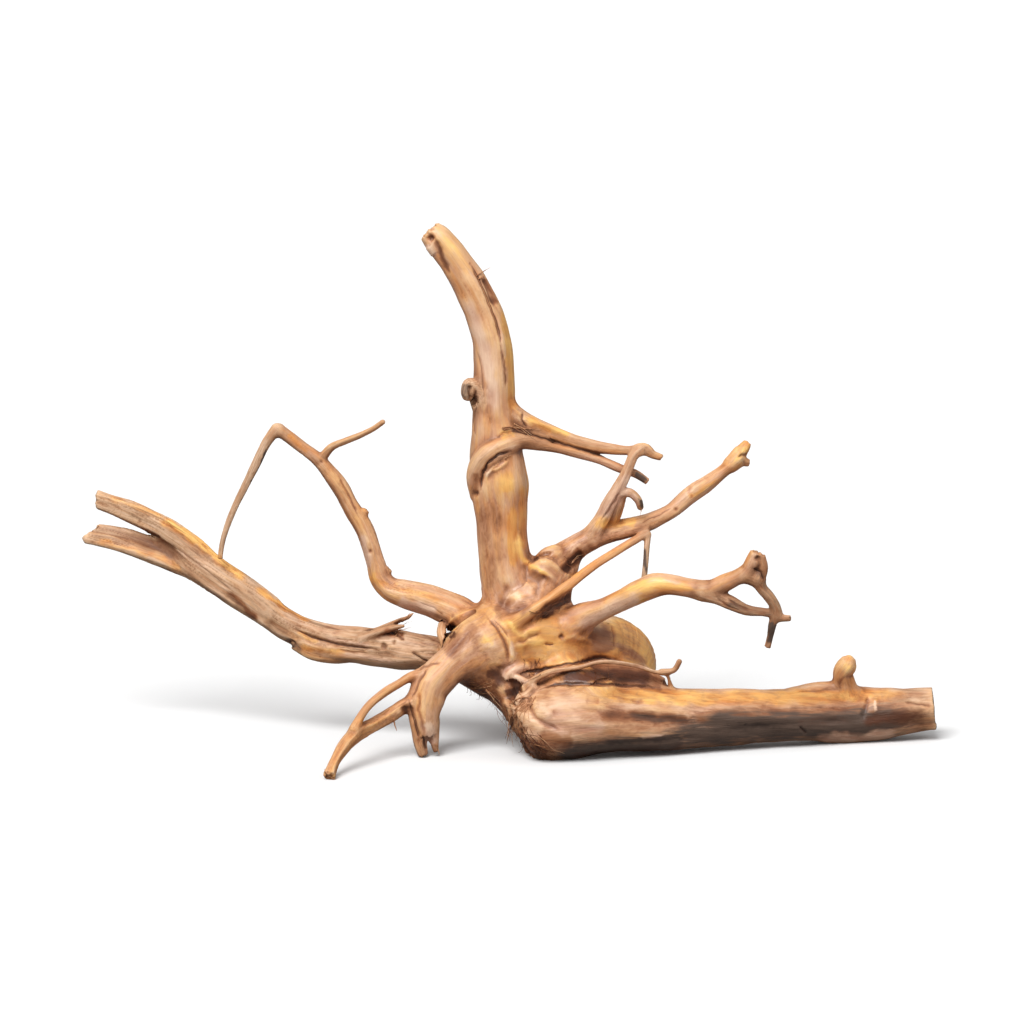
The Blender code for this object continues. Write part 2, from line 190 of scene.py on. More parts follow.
        (128, 79, -46, 3.2), (143, 74, -43, 3), (154, 72, -41, 2.8), (159, 62, -37, 2.2),
        (163, 50, -34, 2.4)]),
    "strip_hook": ("round", 3, 0.05, 0.3, [(150, 73, -42, 3.2), (162, 75, -42, 2.8), (168, 85, -43, 2.6)]),
    # The strip web is a low ridge behind the strip, finished full brown: it stands in for the shade in the
    # recess as much as for wood.
    "strip_web": ("buried", 8, 0.05, 0.6, [(52, 58, -24, 15), (80, 62, -20, 18), (110, 64, -20, 17),
        (134, 62, -24, 14), (150, 58, -28, 9)]),
    "log_chip": ("torn", 4, 0.06, 0.4, [(398, 24, 20, 8), (412, 20, 16, 5), (425, 17, 14, 2.6)]),
}

# Flat faces split or worn along a limb: how far each is turned from the limb's side towards
# the viewer, in degrees, and how far out it lies as a share of the radius.
FACES = {
    "bough": ((92, 0.84), (200, 0.85)),
    "bough_upper_ridge": ((98, 0.5), (38, 0.84), (0, 0.9), (170, 0.86)),
    "bough_lower_ridge": ((72, 0.42), (128, 0.8), (186, 0.84)),
    "bough_splinter": ((60, 0.5), (180, 0.6)),
    "high_branch": ((80, 0.7), (10, 0.8)),
    "crossing_stick": ((60, 0.75), (130, 0.7)),
    "front_leg_thick_root": ((40, 0.75), (120, 0.7)),
    "strip": ((180, 0.35), (80, 0.6)),
}
# How much a torn end slopes to its side and over it.
SLOPES = {
    "bough_upper_ridge": (-0.3, 0.2), "bough_lower_ridge": (0.95, 0.1), "right_branch": (0.5, 0.0),
    "low_branch_spur": (0.0, 0.6), "high_branch": (0.5, 0.3),
}


# Places


def stand_up(across, up, back):
    """The board's across, up and back as a position in the root's own frame."""
    height = (up - math.sin(BOARD_LEAN) * back) / math.cos(BOARD_LEAN)
    return np.array((across, back + CROWN_BACK, height))


def board_up(points):
    """How high each point lies on the board, as seen from the front."""
    return points[:, 2] * math.cos(BOARD_LEAN) + (points[:, 1] - CROWN_BACK) * math.sin(BOARD_LEAN)


def unit(vectors):
    """The same directions at length 1."""
    return vectors / np.maximum(np.linalg.norm(vectors, axis=-1, keepdims=True), 1e-9)


def ease(low, high, value):
    """0 below low, 1 above high and a soft step between them."""
    t = np.clip((value - low) / (high - low), 0.0, 1.0)
    return t * t * (3.0 - 2.0 * t)


def run_lengths(points):
    """How far along a path each of its points lies."""
    return np.concatenate([[0.0], np.cumsum(np.linalg.norm(np.diff(points, axis=0), axis=1))])


# Planes that end a limb: a point, the way out, and how ragged the cut is. The log's far end
# is sawn, its thick end torn. PITH is the middle of the growth rings on the sawn end.
SAW_WAY = np.array((math.cos(SAW_TILT), 0.0, -math.sin(SAW_TILT)))
TORN_WAY = unit(np.array((-0.9, -0.22, -0.37)))
CUTS = {"log": (
    (np.array((SAW_ACROSS, CROWN_BACK, SAW_HEIGHT)), SAW_WAY, 0.0),
    (stand_up(9, 16, -60), TORN_WAY, 3.5),
)}
PITH = stand_up(SAW_ACROSS, 36.3, 26.3)


def flatten(distance, direction, face, way, soft):
    """Cuts a field off at a plane, with a slightly rounded edge."""
    mix = np.clip(0.5 + 0.5 * (face - distance) / soft, 0.0, 1.0)
    closed = distance * (1 - mix) + face * mix + soft * mix * (1 - mix)
    return closed, direction * (1 - mix)[:, None] + way * mix[:, None]


def smooth_path(stations, step):
    """Stations of any width, resampled at even steps on one smooth curve."""
    stations = np.asarray(stations, float)
    gaps = np.linalg.norm(np.diff(stations[:, :3], axis=0), axis=1)
    marks = run_lengths(stations[:, :3])
    slopes = np.diff(stations, axis=0) / gaps[:, None]
    inner = slopes[:-1] * gaps[1:, None] + slopes[1:] * gaps[:-1, None]
    inner = inner / (gaps[:-1] + gaps[1:])[:, None]
    tangents = np.concatenate([slopes[:1], inner, slopes[-1:]])
    count = max(4, int(math.ceil(marks[-1] / step)) + 1)
    at = np.linspace(0.0, marks[-1], count)
    i = np.clip(np.searchsorted(marks, at, side="right") - 1, 0, len(gaps) - 1)
    span = gaps[i][:, None]
    t = (at[:, None] - marks[i][:, None]) / span
    start, end = stations[i], stations[i + 1]
    lead, trail = tangents[i] * span, tangents[i + 1] * span
    return (start * (2 * t**3 - 3 * t**2 + 1) + lead * (t**3 - 2 * t**2 + t)
            + end * (3 * t**2 - 2 * t**3) + trail * (t**3 - t**2))


# Noise

NOISE_TABLE = 256
_draw = np.random.RandomState(71)
_order = np.tile(_draw.permutation(NOISE_TABLE), 2)
_slopes = unit(_draw.normal(size=(NOISE_TABLE, 3)))


def noise(points, seed=0):
    """Smooth three-way noise from about -1 to 1."""
    points = points + np.array((seed * 17.31, seed * 5.77, seed * 11.13))
    cell = np.floor(points).astype(np.int64)
    part = points - cell
    fade = part * part * part * (part * (part * 6 - 15) + 10)
    total = 0.0
    for corner in range(8):
        step = np.array((corner & 1, corner >> 1 & 1, corner >> 2 & 1))
        at = (cell + step) & (NOISE_TABLE - 1)
        pick = _order[_order[_order[at[:, 0]] + at[:, 1]] + at[:, 2]]
        share = np.where(step, fade, 1.0 - fade).prod(axis=1)
        total = total + share * ((part - step) * _slopes[pick]).sum(axis=1)
    return total * 1.6


def layered(points, layers, seed=0):
    """Noise with finer and weaker layers on top of it."""
    total, share = 0.0, 1.0
    for layer in range(layers):
        total = total + share * noise(points, seed + layer)
        points = points * 2.03
        share *= 0.5
    return total


# Limbs as a smooth field


# A limb's rings stand this share of its thinnest radius apart, within a shortest and a longest
# step. Its cross-section has waves of (number around it, share of the lobes).
STEP_SHARE = 0.25
SHORTEST_STEP, LONGEST_STEP = 0.9, 2.5
LEAST_RADIUS = 0.8
LOBE_WAVES = ((2, 0.45), (3, 0.35), (5, 0.3))
# How much the edges of flat faces and plane cuts are rounded.
FACE_EDGE, CUT_EDGE = 1.2, 1.0
# A limb's end: how long it is, then as shares of the last radius how jagged a torn one is, how
# far a whole one bulges, and how rounded the edge of each is.
END_LENGTH = 12
JAG, BULGE = 0.25, 0.35
TORN_EDGE, WHOLE_EDGE = 0.15, 0.7
POINTS_AT_ONCE = 40000


class Limb:
    """One limb: its centre line, radius and cross-section, and how far any point lies from it."""

    def __init__(self, name, order):
        end, self.join, self.lobes, self.groove, stations = LIMBS[name]
        self.name, self.order, self.end = name, order, end
        thin = min(station[3] for station in stations)
        self.step = min(LONGEST_STEP, max(SHORTEST_STEP, thin * STEP_SHARE))
        placed = [(*stand_up(across, up, back), radius) for across, up, back, radius in stations]
        path = smooth_path(placed, self.step)
        self.centre, self.radius = path[:, :3], np.maximum(path[:, 3], LEAST_RADIUS)
        self.along = run_lengths(self.centre)
        self.tangent = unit(np.gradient(self.centre, self.along, axis=0))
        self.flare = np.gradient(self.radius, self.along)
        self.over = self._carry(TOWARD_VIEWER)
        self.side = np.cross(self.tangent, self.over)
        draw = np.random.RandomState(500 + order)
        self.phases = draw.uniform(0, 2 * math.pi, 6)
        self.twist = draw.uniform(-1, 1) * 0.004
        self.shift = draw.uniform(-400, 400, 3)
        reach = self.radius.max() + 4.0
        self.low = self.centre.min(0) - reach
        self.high = self.centre.max(0) + reach

    def _carry(self, first):
        """A direction square to the limb that turns as little as it can from root to tip."""
        carried = np.empty_like(self.centre)
        direction = first
        for i, tangent in enumerate(self.tangent):
            direction = direction - tangent * (direction @ tangent)
            direction = direction / np.linalg.norm(direction)
            carried[i] = direction
        return carried

    def within(self, points, margin):
        """The numbers of the points in or near the limb's box."""
        inside = (points > self.low - margin).all(1) & (points < self.high + margin).all(1)
        return np.nonzero(inside)[0]

    def _nearest(self, points):
        """The number of the centre point that is nearest to each point."""
        nearest = np.empty(len(points), np.int64)
        middle = self.centre.mean(0)
        centre = (self.centre - middle).astype(np.float32)
        squares = (centre**2).sum(1)
        for start in range(0, len(points), POINTS_AT_ONCE):
            chunk = slice(start, start + POINTS_AT_ONCE)
            offsets = (points[chunk] - middle).astype(np.float32)
            nearest[chunk] = (squares - 2.0 * offsets @ centre.T).argmin(1)
        return nearest

    def measure(self, points):
        """Distance outside the limb, the way outward, and the place on the limb."""
        i = self._nearest(points)
        tangent = self.tangent[i]
        shift = ((points - self.centre[i]) * tangent).sum(1)
        last = len(self.centre) - 1
        low = np.where(i == 0, 0.0, -self.step)
        high = np.where(i == last, 0.0, self.step)
        slide = np.clip(shift, low, high)
        if self.end != "buried":
            slide = slide + np.where(i == last, np.maximum(shift, 0.0), 0.0)
        rest = points - self.centre[i] - slide[:, None] * tangent
        away = np.maximum(np.linalg.norm(rest, axis=1), 1e-6)
        outward = rest / away[:, None]
        held = (shift > low) & (shift < high)
        slope = np.where(held, self.flare[i], 0.0)
        across = (outward * self.side[i]).sum(1)
        over = (outward * self.over[i]).sum(1)
        place = self.along[i] + slide
        radius = self.radius[i] + slope * slide * held
        radius = radius * (1.0 + self.lobes * self._lobe(across, over, place))
        scale = 1.0 / np.sqrt(1.0 + slope**2)
        distance = (away - radius) * scale
        direction = (outward - slope[:, None] * tangent) * scale[:, None]
        for turn, share in FACES.get(self.name, ()):
            c, s = math.cos(math.radians(turn)), math.sin(math.radians(turn))
            face = (across * c + over * s) * away - self._face_share(share, place) * self.radius[i]
            way = self.side[i] * c + self.over[i] * s
            distance, direction = flatten(distance, direction, face, way, FACE_EDGE)
        for middle, way, ragged in CUTS.get(self.name, ()):
            face = (points - middle) @ way
            if ragged:
                face = face + ragged * layered(points * 0.13, 3, 5)
            distance, direction = flatten(distance, direction, face, way, CUT_EDGE)
        if self.end != "buried":
            distance, direction = self._cap(distance, direction, shift, i, across, over, away)
        return distance, unit(direction), np.stack([across * away, over * away, place], 1)

    def _face_share(self, share, place):
        """A flat face fades out towards the limb's root."""
        return share + (1.3 - share) * (1.0 - ease(0.08, 0.3, place / self.along[-1]))

    def rings(self, sides):
        """The limb as a closed tube, with its flat faces and plane cuts taken off."""
        turns = turns_of(sides)
        radius = np.repeat(self.radius[:, None], sides, 1)
        for turn, share in FACES.get(self.name, ()):
            lean = np.maximum(np.cos(turns - math.radians(turn)), 0.05)
            flat = self._face_share(share, self.along) * self.radius
            radius = np.minimum(radius, flat[:, None] / lean)
        points, faces = tube_rings(self.centre, radius, self.side, self.over, sides)
        for middle, way, _ in CUTS.get(self.name, ()):
            points = points - np.maximum((points - middle) @ way, 0.0)[:, None] * way
        return points, faces

    def _lobe(self, across, over, place):
        """How far the cross-section swells or shrinks towards each point."""
        turn = across + 1j * over
        total = 0.0
        for k, (power, share) in enumerate(LOBE_WAVES):
            sway = 0.7 * np.sin(place / (34.0 + 11 * k) + self.phases[k + 3])
            drift = self.phases[k] + place * self.twist * power + sway
            total = total + share * (turn**power * np.exp(1j * drift)).real
        return total

    def _cap(self, distance, direction, shift, i, across, over, away):
        """Closes the limb's far end: torn ends are jagged and sloped, the others bulge."""
        near_end = i > len(self.centre) - 1 - int(END_LENGTH / self.step)
        last = self.radius[-1]
        flat = self.along[i] + shift - self.along[-1]
        if self.end == "torn":
            spot = np.stack([across * away, over * away, np.full(len(away), 3.0 * self.order)], 1)
            to_side, to_over = SLOPES.get(self.name, (0.0, 0.0))
            flat = flat + last * JAG * noise(spot * 0.45) + (to_side * across + to_over * over) * away
            edge = TORN_EDGE
        else:
            flat = flat - last * BULGE * (1.0 - np.clip(away / last, 0, 1)**2)
            edge = WHOLE_EDGE
        closed, way = flatten(distance, direction, flat, self.tangent[i], max(0.6, last * edge))
        return np.where(near_end, closed, distance), np.where(near_end[:, None], way, direction)


def grow_limbs():
    """Every limb of the root, numbered in the table's order."""
    return [Limb(name, order) for order, name in enumerate(LIMBS)]


# Further from the wood than anything counts, and the longest slide of a point in one round.
FAR = 60.0
LONGEST_SLIDE = 1.6


def skin_distance(limbs, points):
    """Distance outside the joined limbs and the way outward, with a fillet at every fork."""
    total = np.full(len(points), FAR)
    way = np.zeros((len(points), 3))
    for limb in limbs:
        near = limb.within(points, limb.join)
        if not len(near):
            continue
        distance, direction, _ = limb.measure(points[near])
        before = total[near]
        mix = np.clip(0.5 + 0.5 * (before - distance) / limb.join, 0.0, 1.0)
        total[near] = before * (1 - mix) + distance * mix - limb.join * mix * (1 - mix)
        way[near] = way[near] * (1 - mix)[:, None] + direction * mix[:, None]
    return total, way


def settle(limbs, points, rounds):
    """Slides points onto the joined skin."""
    for _ in range(rounds):
        distance, way = skin_distance(limbs, points)
        steep = np.maximum((way**2).sum(1), 0.2)
        move = np.clip(distance, -LONGEST_SLIDE, LONGEST_SLIDE) / steep
        points = points - way * move[:, None]
    return points


# Meshes

SKIN_NAME = "wood_skin"
RING_SIDES = 20


def turns_of(sides):
    """The turn of each corner of a ring."""
    return np.linspace(0, 2 * math.pi, sides, endpoint=False)


def tube_rings(centre, radius, side, over, sides):
    """Vertices and faces of one closed tube. It has one radius a ring, or one a corner."""
    turns = turns_of(sides)
    ring = side[:, None] * np.cos(turns)[None, :, None] + over[:, None] * np.sin(turns)[None, :, None]
    points = centre[:, None] + ring * radius.reshape(len(centre), -1, 1)
    count = len(centre)
    faces = []
    for i in range(count - 1):
        a, b = i * sides, (i + 1) * sides
        faces += [(a + j, a + (j + 1) % sides, b + (j + 1) % sides, b + j) for j in range(sides)]
    faces.append(tuple(reversed(range(sides))))
    faces.append(tuple((count - 1) * sides + j for j in range(sides)))
    return points.reshape(-1, 3), faces


def join_tubes(tubes):
    """Several tubes' vertices, and all their faces numbered on."""
    faces, base = [], 0
    for points, walls in tubes:
        faces += [tuple(base + j for j in wall) for wall in walls]
        base += len(points)
    return np.concatenate([points for points, _ in tubes]), faces


def link_mesh(name, points, faces):
    """A new object from millimetre points."""
    mesh = bpy.data.meshes.new(name)
    mesh.from_pydata((np.asarray(points) * MM).tolist(), [], faces)
    thing = bpy.data.objects.new(name, mesh)
    bpy.context.scene.collection.objects.link(thing)
    return thing


def read_points(mesh):
    """A mesh's vertices in millimetres."""
    points = np.empty(len(mesh.vertices) * 3)
    mesh.vertices.foreach_get("co", points)
    return points.reshape(-1, 3) / MM


def write_points(mesh, points):
    """Moves a mesh's vertices to these millimetre points."""
    mesh.vertices.foreach_set("co", (points * MM).ravel())
    mesh.update()


def read_normals(mesh):
    normals = np.empty(len(mesh.vertices) * 3)
    mesh.vertex_normals.foreach_get("vector", normals)
    return normals.reshape(-1, 3)


def read_edges(mesh):
    edges = np.empty(len(mesh.edges) * 2, np.int64)
    mesh.edges.foreach_get("vertices", edges)
    return edges.reshape(-1, 2)


def apply_modifiers(thing):
    """Makes what the modifiers show the object's own mesh."""
    bpy.context.view_layer.update()
    evaluated = thing.evaluated_get(bpy.context.evaluated_depsgraph_get())
    mesh = bpy.data.meshes.new_from_object(evaluated)
    old = thing.data
    thing.modifiers.clear()
    thing.data = mesh
    mesh.name = thing.name
    bpy.data.meshes.remove(old)


def relax(points, edges, rounds, share=0.5):
    """Moves each point towards the mean of its neighbours."""
    first, second = edges[:, 0], edges[:, 1]
    count = len(points)
    degree = np.maximum(np.bincount(first, minlength=count) + np.bincount(second, minlength=count), 1)
    for _ in range(rounds):
        mean = np.empty_like(points)
        for axis in range(points.shape[1]):
            column = points[:, axis]
            total = np.bincount(first, column[second], count) + np.bincount(second, column[first], count)
            mean[:, axis] = total / degree
        points = points + (mean - points) * share
    return points


def even_out(values, edges, rounds):
    """The same for one value per point."""
    return relax(values[:, None], edges, rounds)[:, 0]


def rough_skin(limbs, voxel):
    """All limbs as tubes, joined by a fine voxel remesh."""
    points, faces = join_tubes([limb.rings(RING_SIDES) for limb in limbs])
    skin = link_mesh(SKIN_NAME, points, faces)
    remesh = skin.modifiers.new("grown_together", "REMESH")
    remesh.mode = "VOXEL"
    remesh.voxel_size = voxel * MM
    apply_modifiers(skin)
    return skin


def keep_outer_shell(skin):
    """Drops the closed pockets that a remesh leaves inside, and keeps the largest shell."""
    mesh = skin.data
    edges = read_edges(mesh)
    label = np.arange(len(mesh.vertices))
    while True:
        low = np.minimum(label[edges[:, 0]], label[edges[:, 1]])
        before = label.copy()
        np.minimum.at(label, edges[:, 0], low)
        np.minimum.at(label, edges[:, 1], low)
        label = label[label]
        label = label[label]
        if (label == before).all():
            break
    shell = np.bincount(label, minlength=len(label)).argmax()
    kept = label == shell
    corners = np.empty(len(mesh.loops), np.int64)
    mesh.loops.foreach_get("vertex_index", corners)
    corners = corners.reshape(-1, 4)
    corners = corners[kept[corners[:, 0]]]
    renumber = np.cumsum(kept) - 1
    points = read_points(mesh)[kept]
    fresh = bpy.data.meshes.new(SKIN_NAME)
    fresh.from_pydata((points * MM).tolist(), [], renumber[corners].tolist())
    skin.data = fresh
    bpy.data.meshes.remove(mesh)


# Marks, by kind. Each stroke is drawn on the board as seen from the front, and lies on the
# front of the limbs that it names: limbs, half width, depth or height, and its points. They
# run right and down from the board's top left corner; the crown's foot lies at CROWN_FOOT.
CROWN_FOOT = (512.0, 745.0)
BOUGH = ("bough", "bough_upper_ridge", "bough_lower_ridge", "bough_splinter", "bough_bark")
SHOULDER = ("shoulder_knob", "shoulder_lobe", "shoulder_web", "right_branch", "trunk", "crown")
HUB = ("crown", "neck", "front_leg", "low_branch", "log_root", "trunk", "thin_stick", "shoulder_knob")
PALE_EDGES = ("strip", "strip_hook", "hub_curl", "butt_strand", "butt_drip", "crown_strand")
LOG = ("log", "log_lump", "log_stub", "log_chip")
TRUNK = ("trunk", "collar", "branch_web", "high_branch")
LEG = ("front_leg", "front_leg_thin_root", "front_leg_thick_root", "foot_prong", "foot_splinter")
BRANCH = ("right_branch", "branch_lip_high", "branch_lip_low")
FORK = ("low_branch", "low_branch_lump", "low_branch_outer", "low_branch_inner", "low_branch_tip")
STROKES = {
    "crack": [
        (BOUGH, 1.1, 2.8, [(293, 629), (310, 637), (322, 641), (340, 645), (358, 648), (376, 649)]),
        (BOUGH, 0.8, 1.8, [(363, 631), (378, 629), (392, 626), (406, 621)]),
        (BOUGH, 0.8, 1.7, [(412, 653), (420, 658), (429, 663)]),
        (BOUGH, 0.9, 2.4, [(134, 528), (147, 533), (160, 539)]),
        (("trunk",), 0.7, 2.2, [(470, 263), (478, 277), (485, 292), (491, 307), (496, 320), (500, 335),
         (501, 347)]),
        (TRUNK, 1, 3.2, [(481, 490), (482, 475), (488, 464), (498, 456), (511, 451)]),
        (("high_branch", "collar", "branch_web"), 1.2, 2.2, [(510, 431), (530, 434), (560, 443),
         (590, 452), (612, 458)]),
        (("high_branch", "trunk"), 0.8, 1.6, [(523, 413), (522, 420), (526, 427)]),
        (HUB, 0.9, 1.6, [(545, 644), (550, 645), (554, 644)]),
        (("log", "log_root", "crown", "neck", "bulb"), 1.8, 2.5, [(540, 689), (556, 684), (580, 683),
         (612, 684), (640, 685), (662, 687)]),
        (("log_root", "crown", "neck", "bulb"), 1.6, 3, [(520, 674), (536, 670), (556, 666), (580, 662),
         (602, 658), (618, 660)]),
        (LEG, 0.7, 2, [(409, 700), (413, 716), (419, 740)]), (LEG, 1.3, 2, [(423, 736), (427, 750)]),
        (LOG, 1, 1.6, [(800, 727), (807, 734)]), (FORK, 0.9, 1.8, [(752, 568), (760, 572), (763, 580)])],
    "hairline": [
        (BOUGH, 0.9, 1, [(268, 598), (285, 610), (300, 618), (325, 627), (345, 631)]),
        (BOUGH, 0.9, 1.4, [(390, 630), (397, 635), (404, 640)]),
        (BOUGH, 0.8, 0.8, [(418, 633), (436, 641), (450, 650)]),
        (BOUGH, 0.7, 0.6, [(120, 553), (150, 563), (185, 579)]),
        (BOUGH, 0.7, 0.6, [(130, 506), (160, 519), (188, 536)]),
        (BOUGH, 0.7, 0.8, [(160, 540), (180, 552), (205, 570), (232, 592)]),
        (BOUGH, 0.9, 1, [(338, 650), (352, 652), (368, 653)]),
        (("trunk",), 0.8, 1, [(500, 346), (505, 362), (506, 388)]),
        (("trunk",), 0.6, 0.7, [(477, 350), (481, 365), (483, 382), (482, 400)]),
        (("trunk",), 0.6, 0.5, [(478, 402), (473, 420), (476, 436)]),
        (("trunk",), 0.9, 1.2, [(487, 472), (494, 463), (504, 459)]),
        (TRUNK, 0.8, 0.8, [(496, 438), (503, 433), (513, 431)]),
        (HUB, 0.9, 0.8, [(488, 618), (498, 629), (504, 641), (508, 653), (509, 662)]),
        (HUB, 0.8, 0.8, [(494, 620), (503, 629), (508, 637)]),
        (HUB, 0.8, 1, [(516, 641), (524, 642), (532, 636), (540, 633)]),
        (LEG, 0.9, 1.6, [(427, 669), (419, 681), (412, 698)]),
        (LEG, 1, 1.2, [(440, 662), (430, 664), (418, 670)]),
        (LOG, 0.8, 1, [(905, 702), (920, 705), (934, 707)]),
        (LOG, 0.8, 0.6, [(798, 692), (815, 691), (834, 690)]),
        (FORK, 0.9, 1.4, [(716, 597), (728, 606), (740, 610)]),
        (FORK, 0.8, 1.4, [(727, 598), (736, 604), (750, 609)]),
        (FORK, 0.8, 1.4, [(766, 626), (767, 638), (765, 648)]),
        (BRANCH, 1, 2.4, [(738, 457), (743, 455), (750, 454)]),
        (BRANCH, 0.7, 0.6, [(640, 524), (650, 519), (661, 515), (672, 508)]),
        (("crossing_stick", "crossing_strand"), 1, 1.4, [(601, 522), (611, 507), (621, 491)]),
        (("crooked_branch",), 0.9, 1.2, [(338, 476), (348, 494), (357, 514)]),
        (("crooked_branch",), 0.7, 0.6, [(420, 603), (434, 608), (444, 616)])],
    "pit": [
        (BOUGH, 1.6, 1.2, [(401, 634)]), (BOUGH, 3.2, 3, [(290, 645)]), (BOUGH, 2.6, 2.8, [(384, 647)]),
        (BOUGH, 1.8, 1.8, [(394, 642)]), (BOUGH, 1.5, 1, [(138, 521)]), (("trunk",), 3.2, 5, [(430, 238)]),
        (TRUNK, 3, 2, [(476, 494)]), (HUB, 2.4, 3.4, [(562, 637)]),
        (("crown", "bough", "crooked_branch"), 6.5, 7, [(451, 634)]),
        (("neck", "log", "log_root", "crown"), 10, 14, [(514, 689)]),
        (("neck", "log", "log_root", "crown"), 5, 6, [(509, 696)]), (LEG, 4, 4, [(406, 709)]),
        (FORK, 2.8, 3.4, [(757, 558)]), (BRANCH, 1.8, 1.4, [(676, 509)]),
        (("crooked_branch", "crooked_twig"), 1.8, 1.6, [(321, 462)]),
        (("crooked_branch",), 2.2, 1.6, [(369, 551)])],
    "groove": [
        (BOUGH, 3, 1.4, [(222, 593), (236, 604), (248, 614), (258, 623)]),
        (("trunk",), 3.2, 2.4, [(483, 275), (490, 290), (497, 307)]),
        (("trunk",), 2.8, 2.2, [(434, 238), (440, 254), (449, 272)]),
        (("trunk_knob", "trunk"), 2.6, 4.5, [(470, 384), (470, 393), (472, 402)]),
        (HUB, 1.8, 1.2, [(487, 617), (497, 628), (503, 640), (507, 652), (508, 664)]),
        (("crown", "trunk", "right_branch", "bulb", "thin_stick", "shoulder_web"), 4.5, 4, [(538, 617),
         (550, 609), (565, 600), (580, 594)]),
        (SHOULDER, 2, 2.4, [(530, 562), (538, 555), (553, 553)]),
        (("right_branch", "shoulder_knob", "shoulder_lobe"), 6, 4, [(563, 574), (572, 560), (585, 552)]),
        (LEG, 2, 1.6, [(419, 690), (419, 710), (425, 735)]),
        (LOG, 2.4, 1.8, [(869, 697), (867, 708), (862, 720)]),
        (LOG, 2, 1.8, [(530, 690), (529, 704), (535, 716), (546, 724), (560, 729)]),
        (LOG, 2, 0.7, [(631, 699), (638, 702), (644, 700)])],
    "dip": [
        (BOUGH, 6, 1, [(104, 532), (130, 537), (158, 548), (180, 560)]),
        (BOUGH, 7, 1.4, [(260, 620), (290, 640), (330, 652)]),
        (SHOULDER, 9, 2, [(500, 585), (520, 590), (545, 592)]),
        (HUB, 8, 1.2, [(520, 584), (540, 582), (556, 590)]),
        (LOG, 5, 1.6, [(575, 709), (610, 713), (650, 717), (700, 722), (740, 724)]),
        (LOG, 4, 0.8, [(584, 699), (600, 701)]),
        (LOG, 3, 1.4, [(560, 747), (600, 743), (650, 741), (700, 737)]),
        (LOG, 4, 1.4, [(700, 732), (760, 726), (830, 722), (900, 716)]),
        (BRANCH, 2.4, 0.8, [(690, 484), (690, 492), (694, 499)])],
    "ridge": [
        (BOUGH, 3, 1.2, [(292, 640), (315, 647), (350, 651)]),
        (("trunk",), 3.5, 2, [(427, 246), (434, 256)]),
        (("trunk",), 2.2, 2.6, [(486, 480), (491, 467), (499, 459), (510, 455)]),
        (("trunk",), 2, 1.7, [(491, 471), (500, 467), (508, 461)]),
        (HUB, 9, 2.6, [(474, 628), (488, 640), (497, 655), (498, 670)]),
        (HUB, 2.2, 0.9, [(497, 624), (507, 638), (512, 652), (512, 666)]),
        (HUB, 2.4, 0.8, [(508, 621), (515, 631), (523, 637)]),
        (HUB, 2.6, 1, [(521, 637), (531, 631), (540, 628)]),
        (HUB, 3, 1, [(515, 646), (530, 641), (546, 641)]),
        (HUB, 3, 1, [(566, 640), (574, 637), (584, 639), (594, 643)]),
        (SHOULDER, 3.4, 2.2, [(519, 532), (520, 550), (524, 561), (534, 568), (548, 575), (560, 584)]),
        (LOG, 2.2, 0.8, [(877, 698), (874, 714)]), (LOG, 4.5, 1.8, [(520, 712), (530, 722), (546, 730)]),
        (LOG, 6, 1.6, [(541, 694), (541, 706), (552, 717)]), (("crooked_branch",), 3, 3.2, [(366, 509)]),
        (("crooked_branch",), 4, 3.4, [(391, 569)])],
}

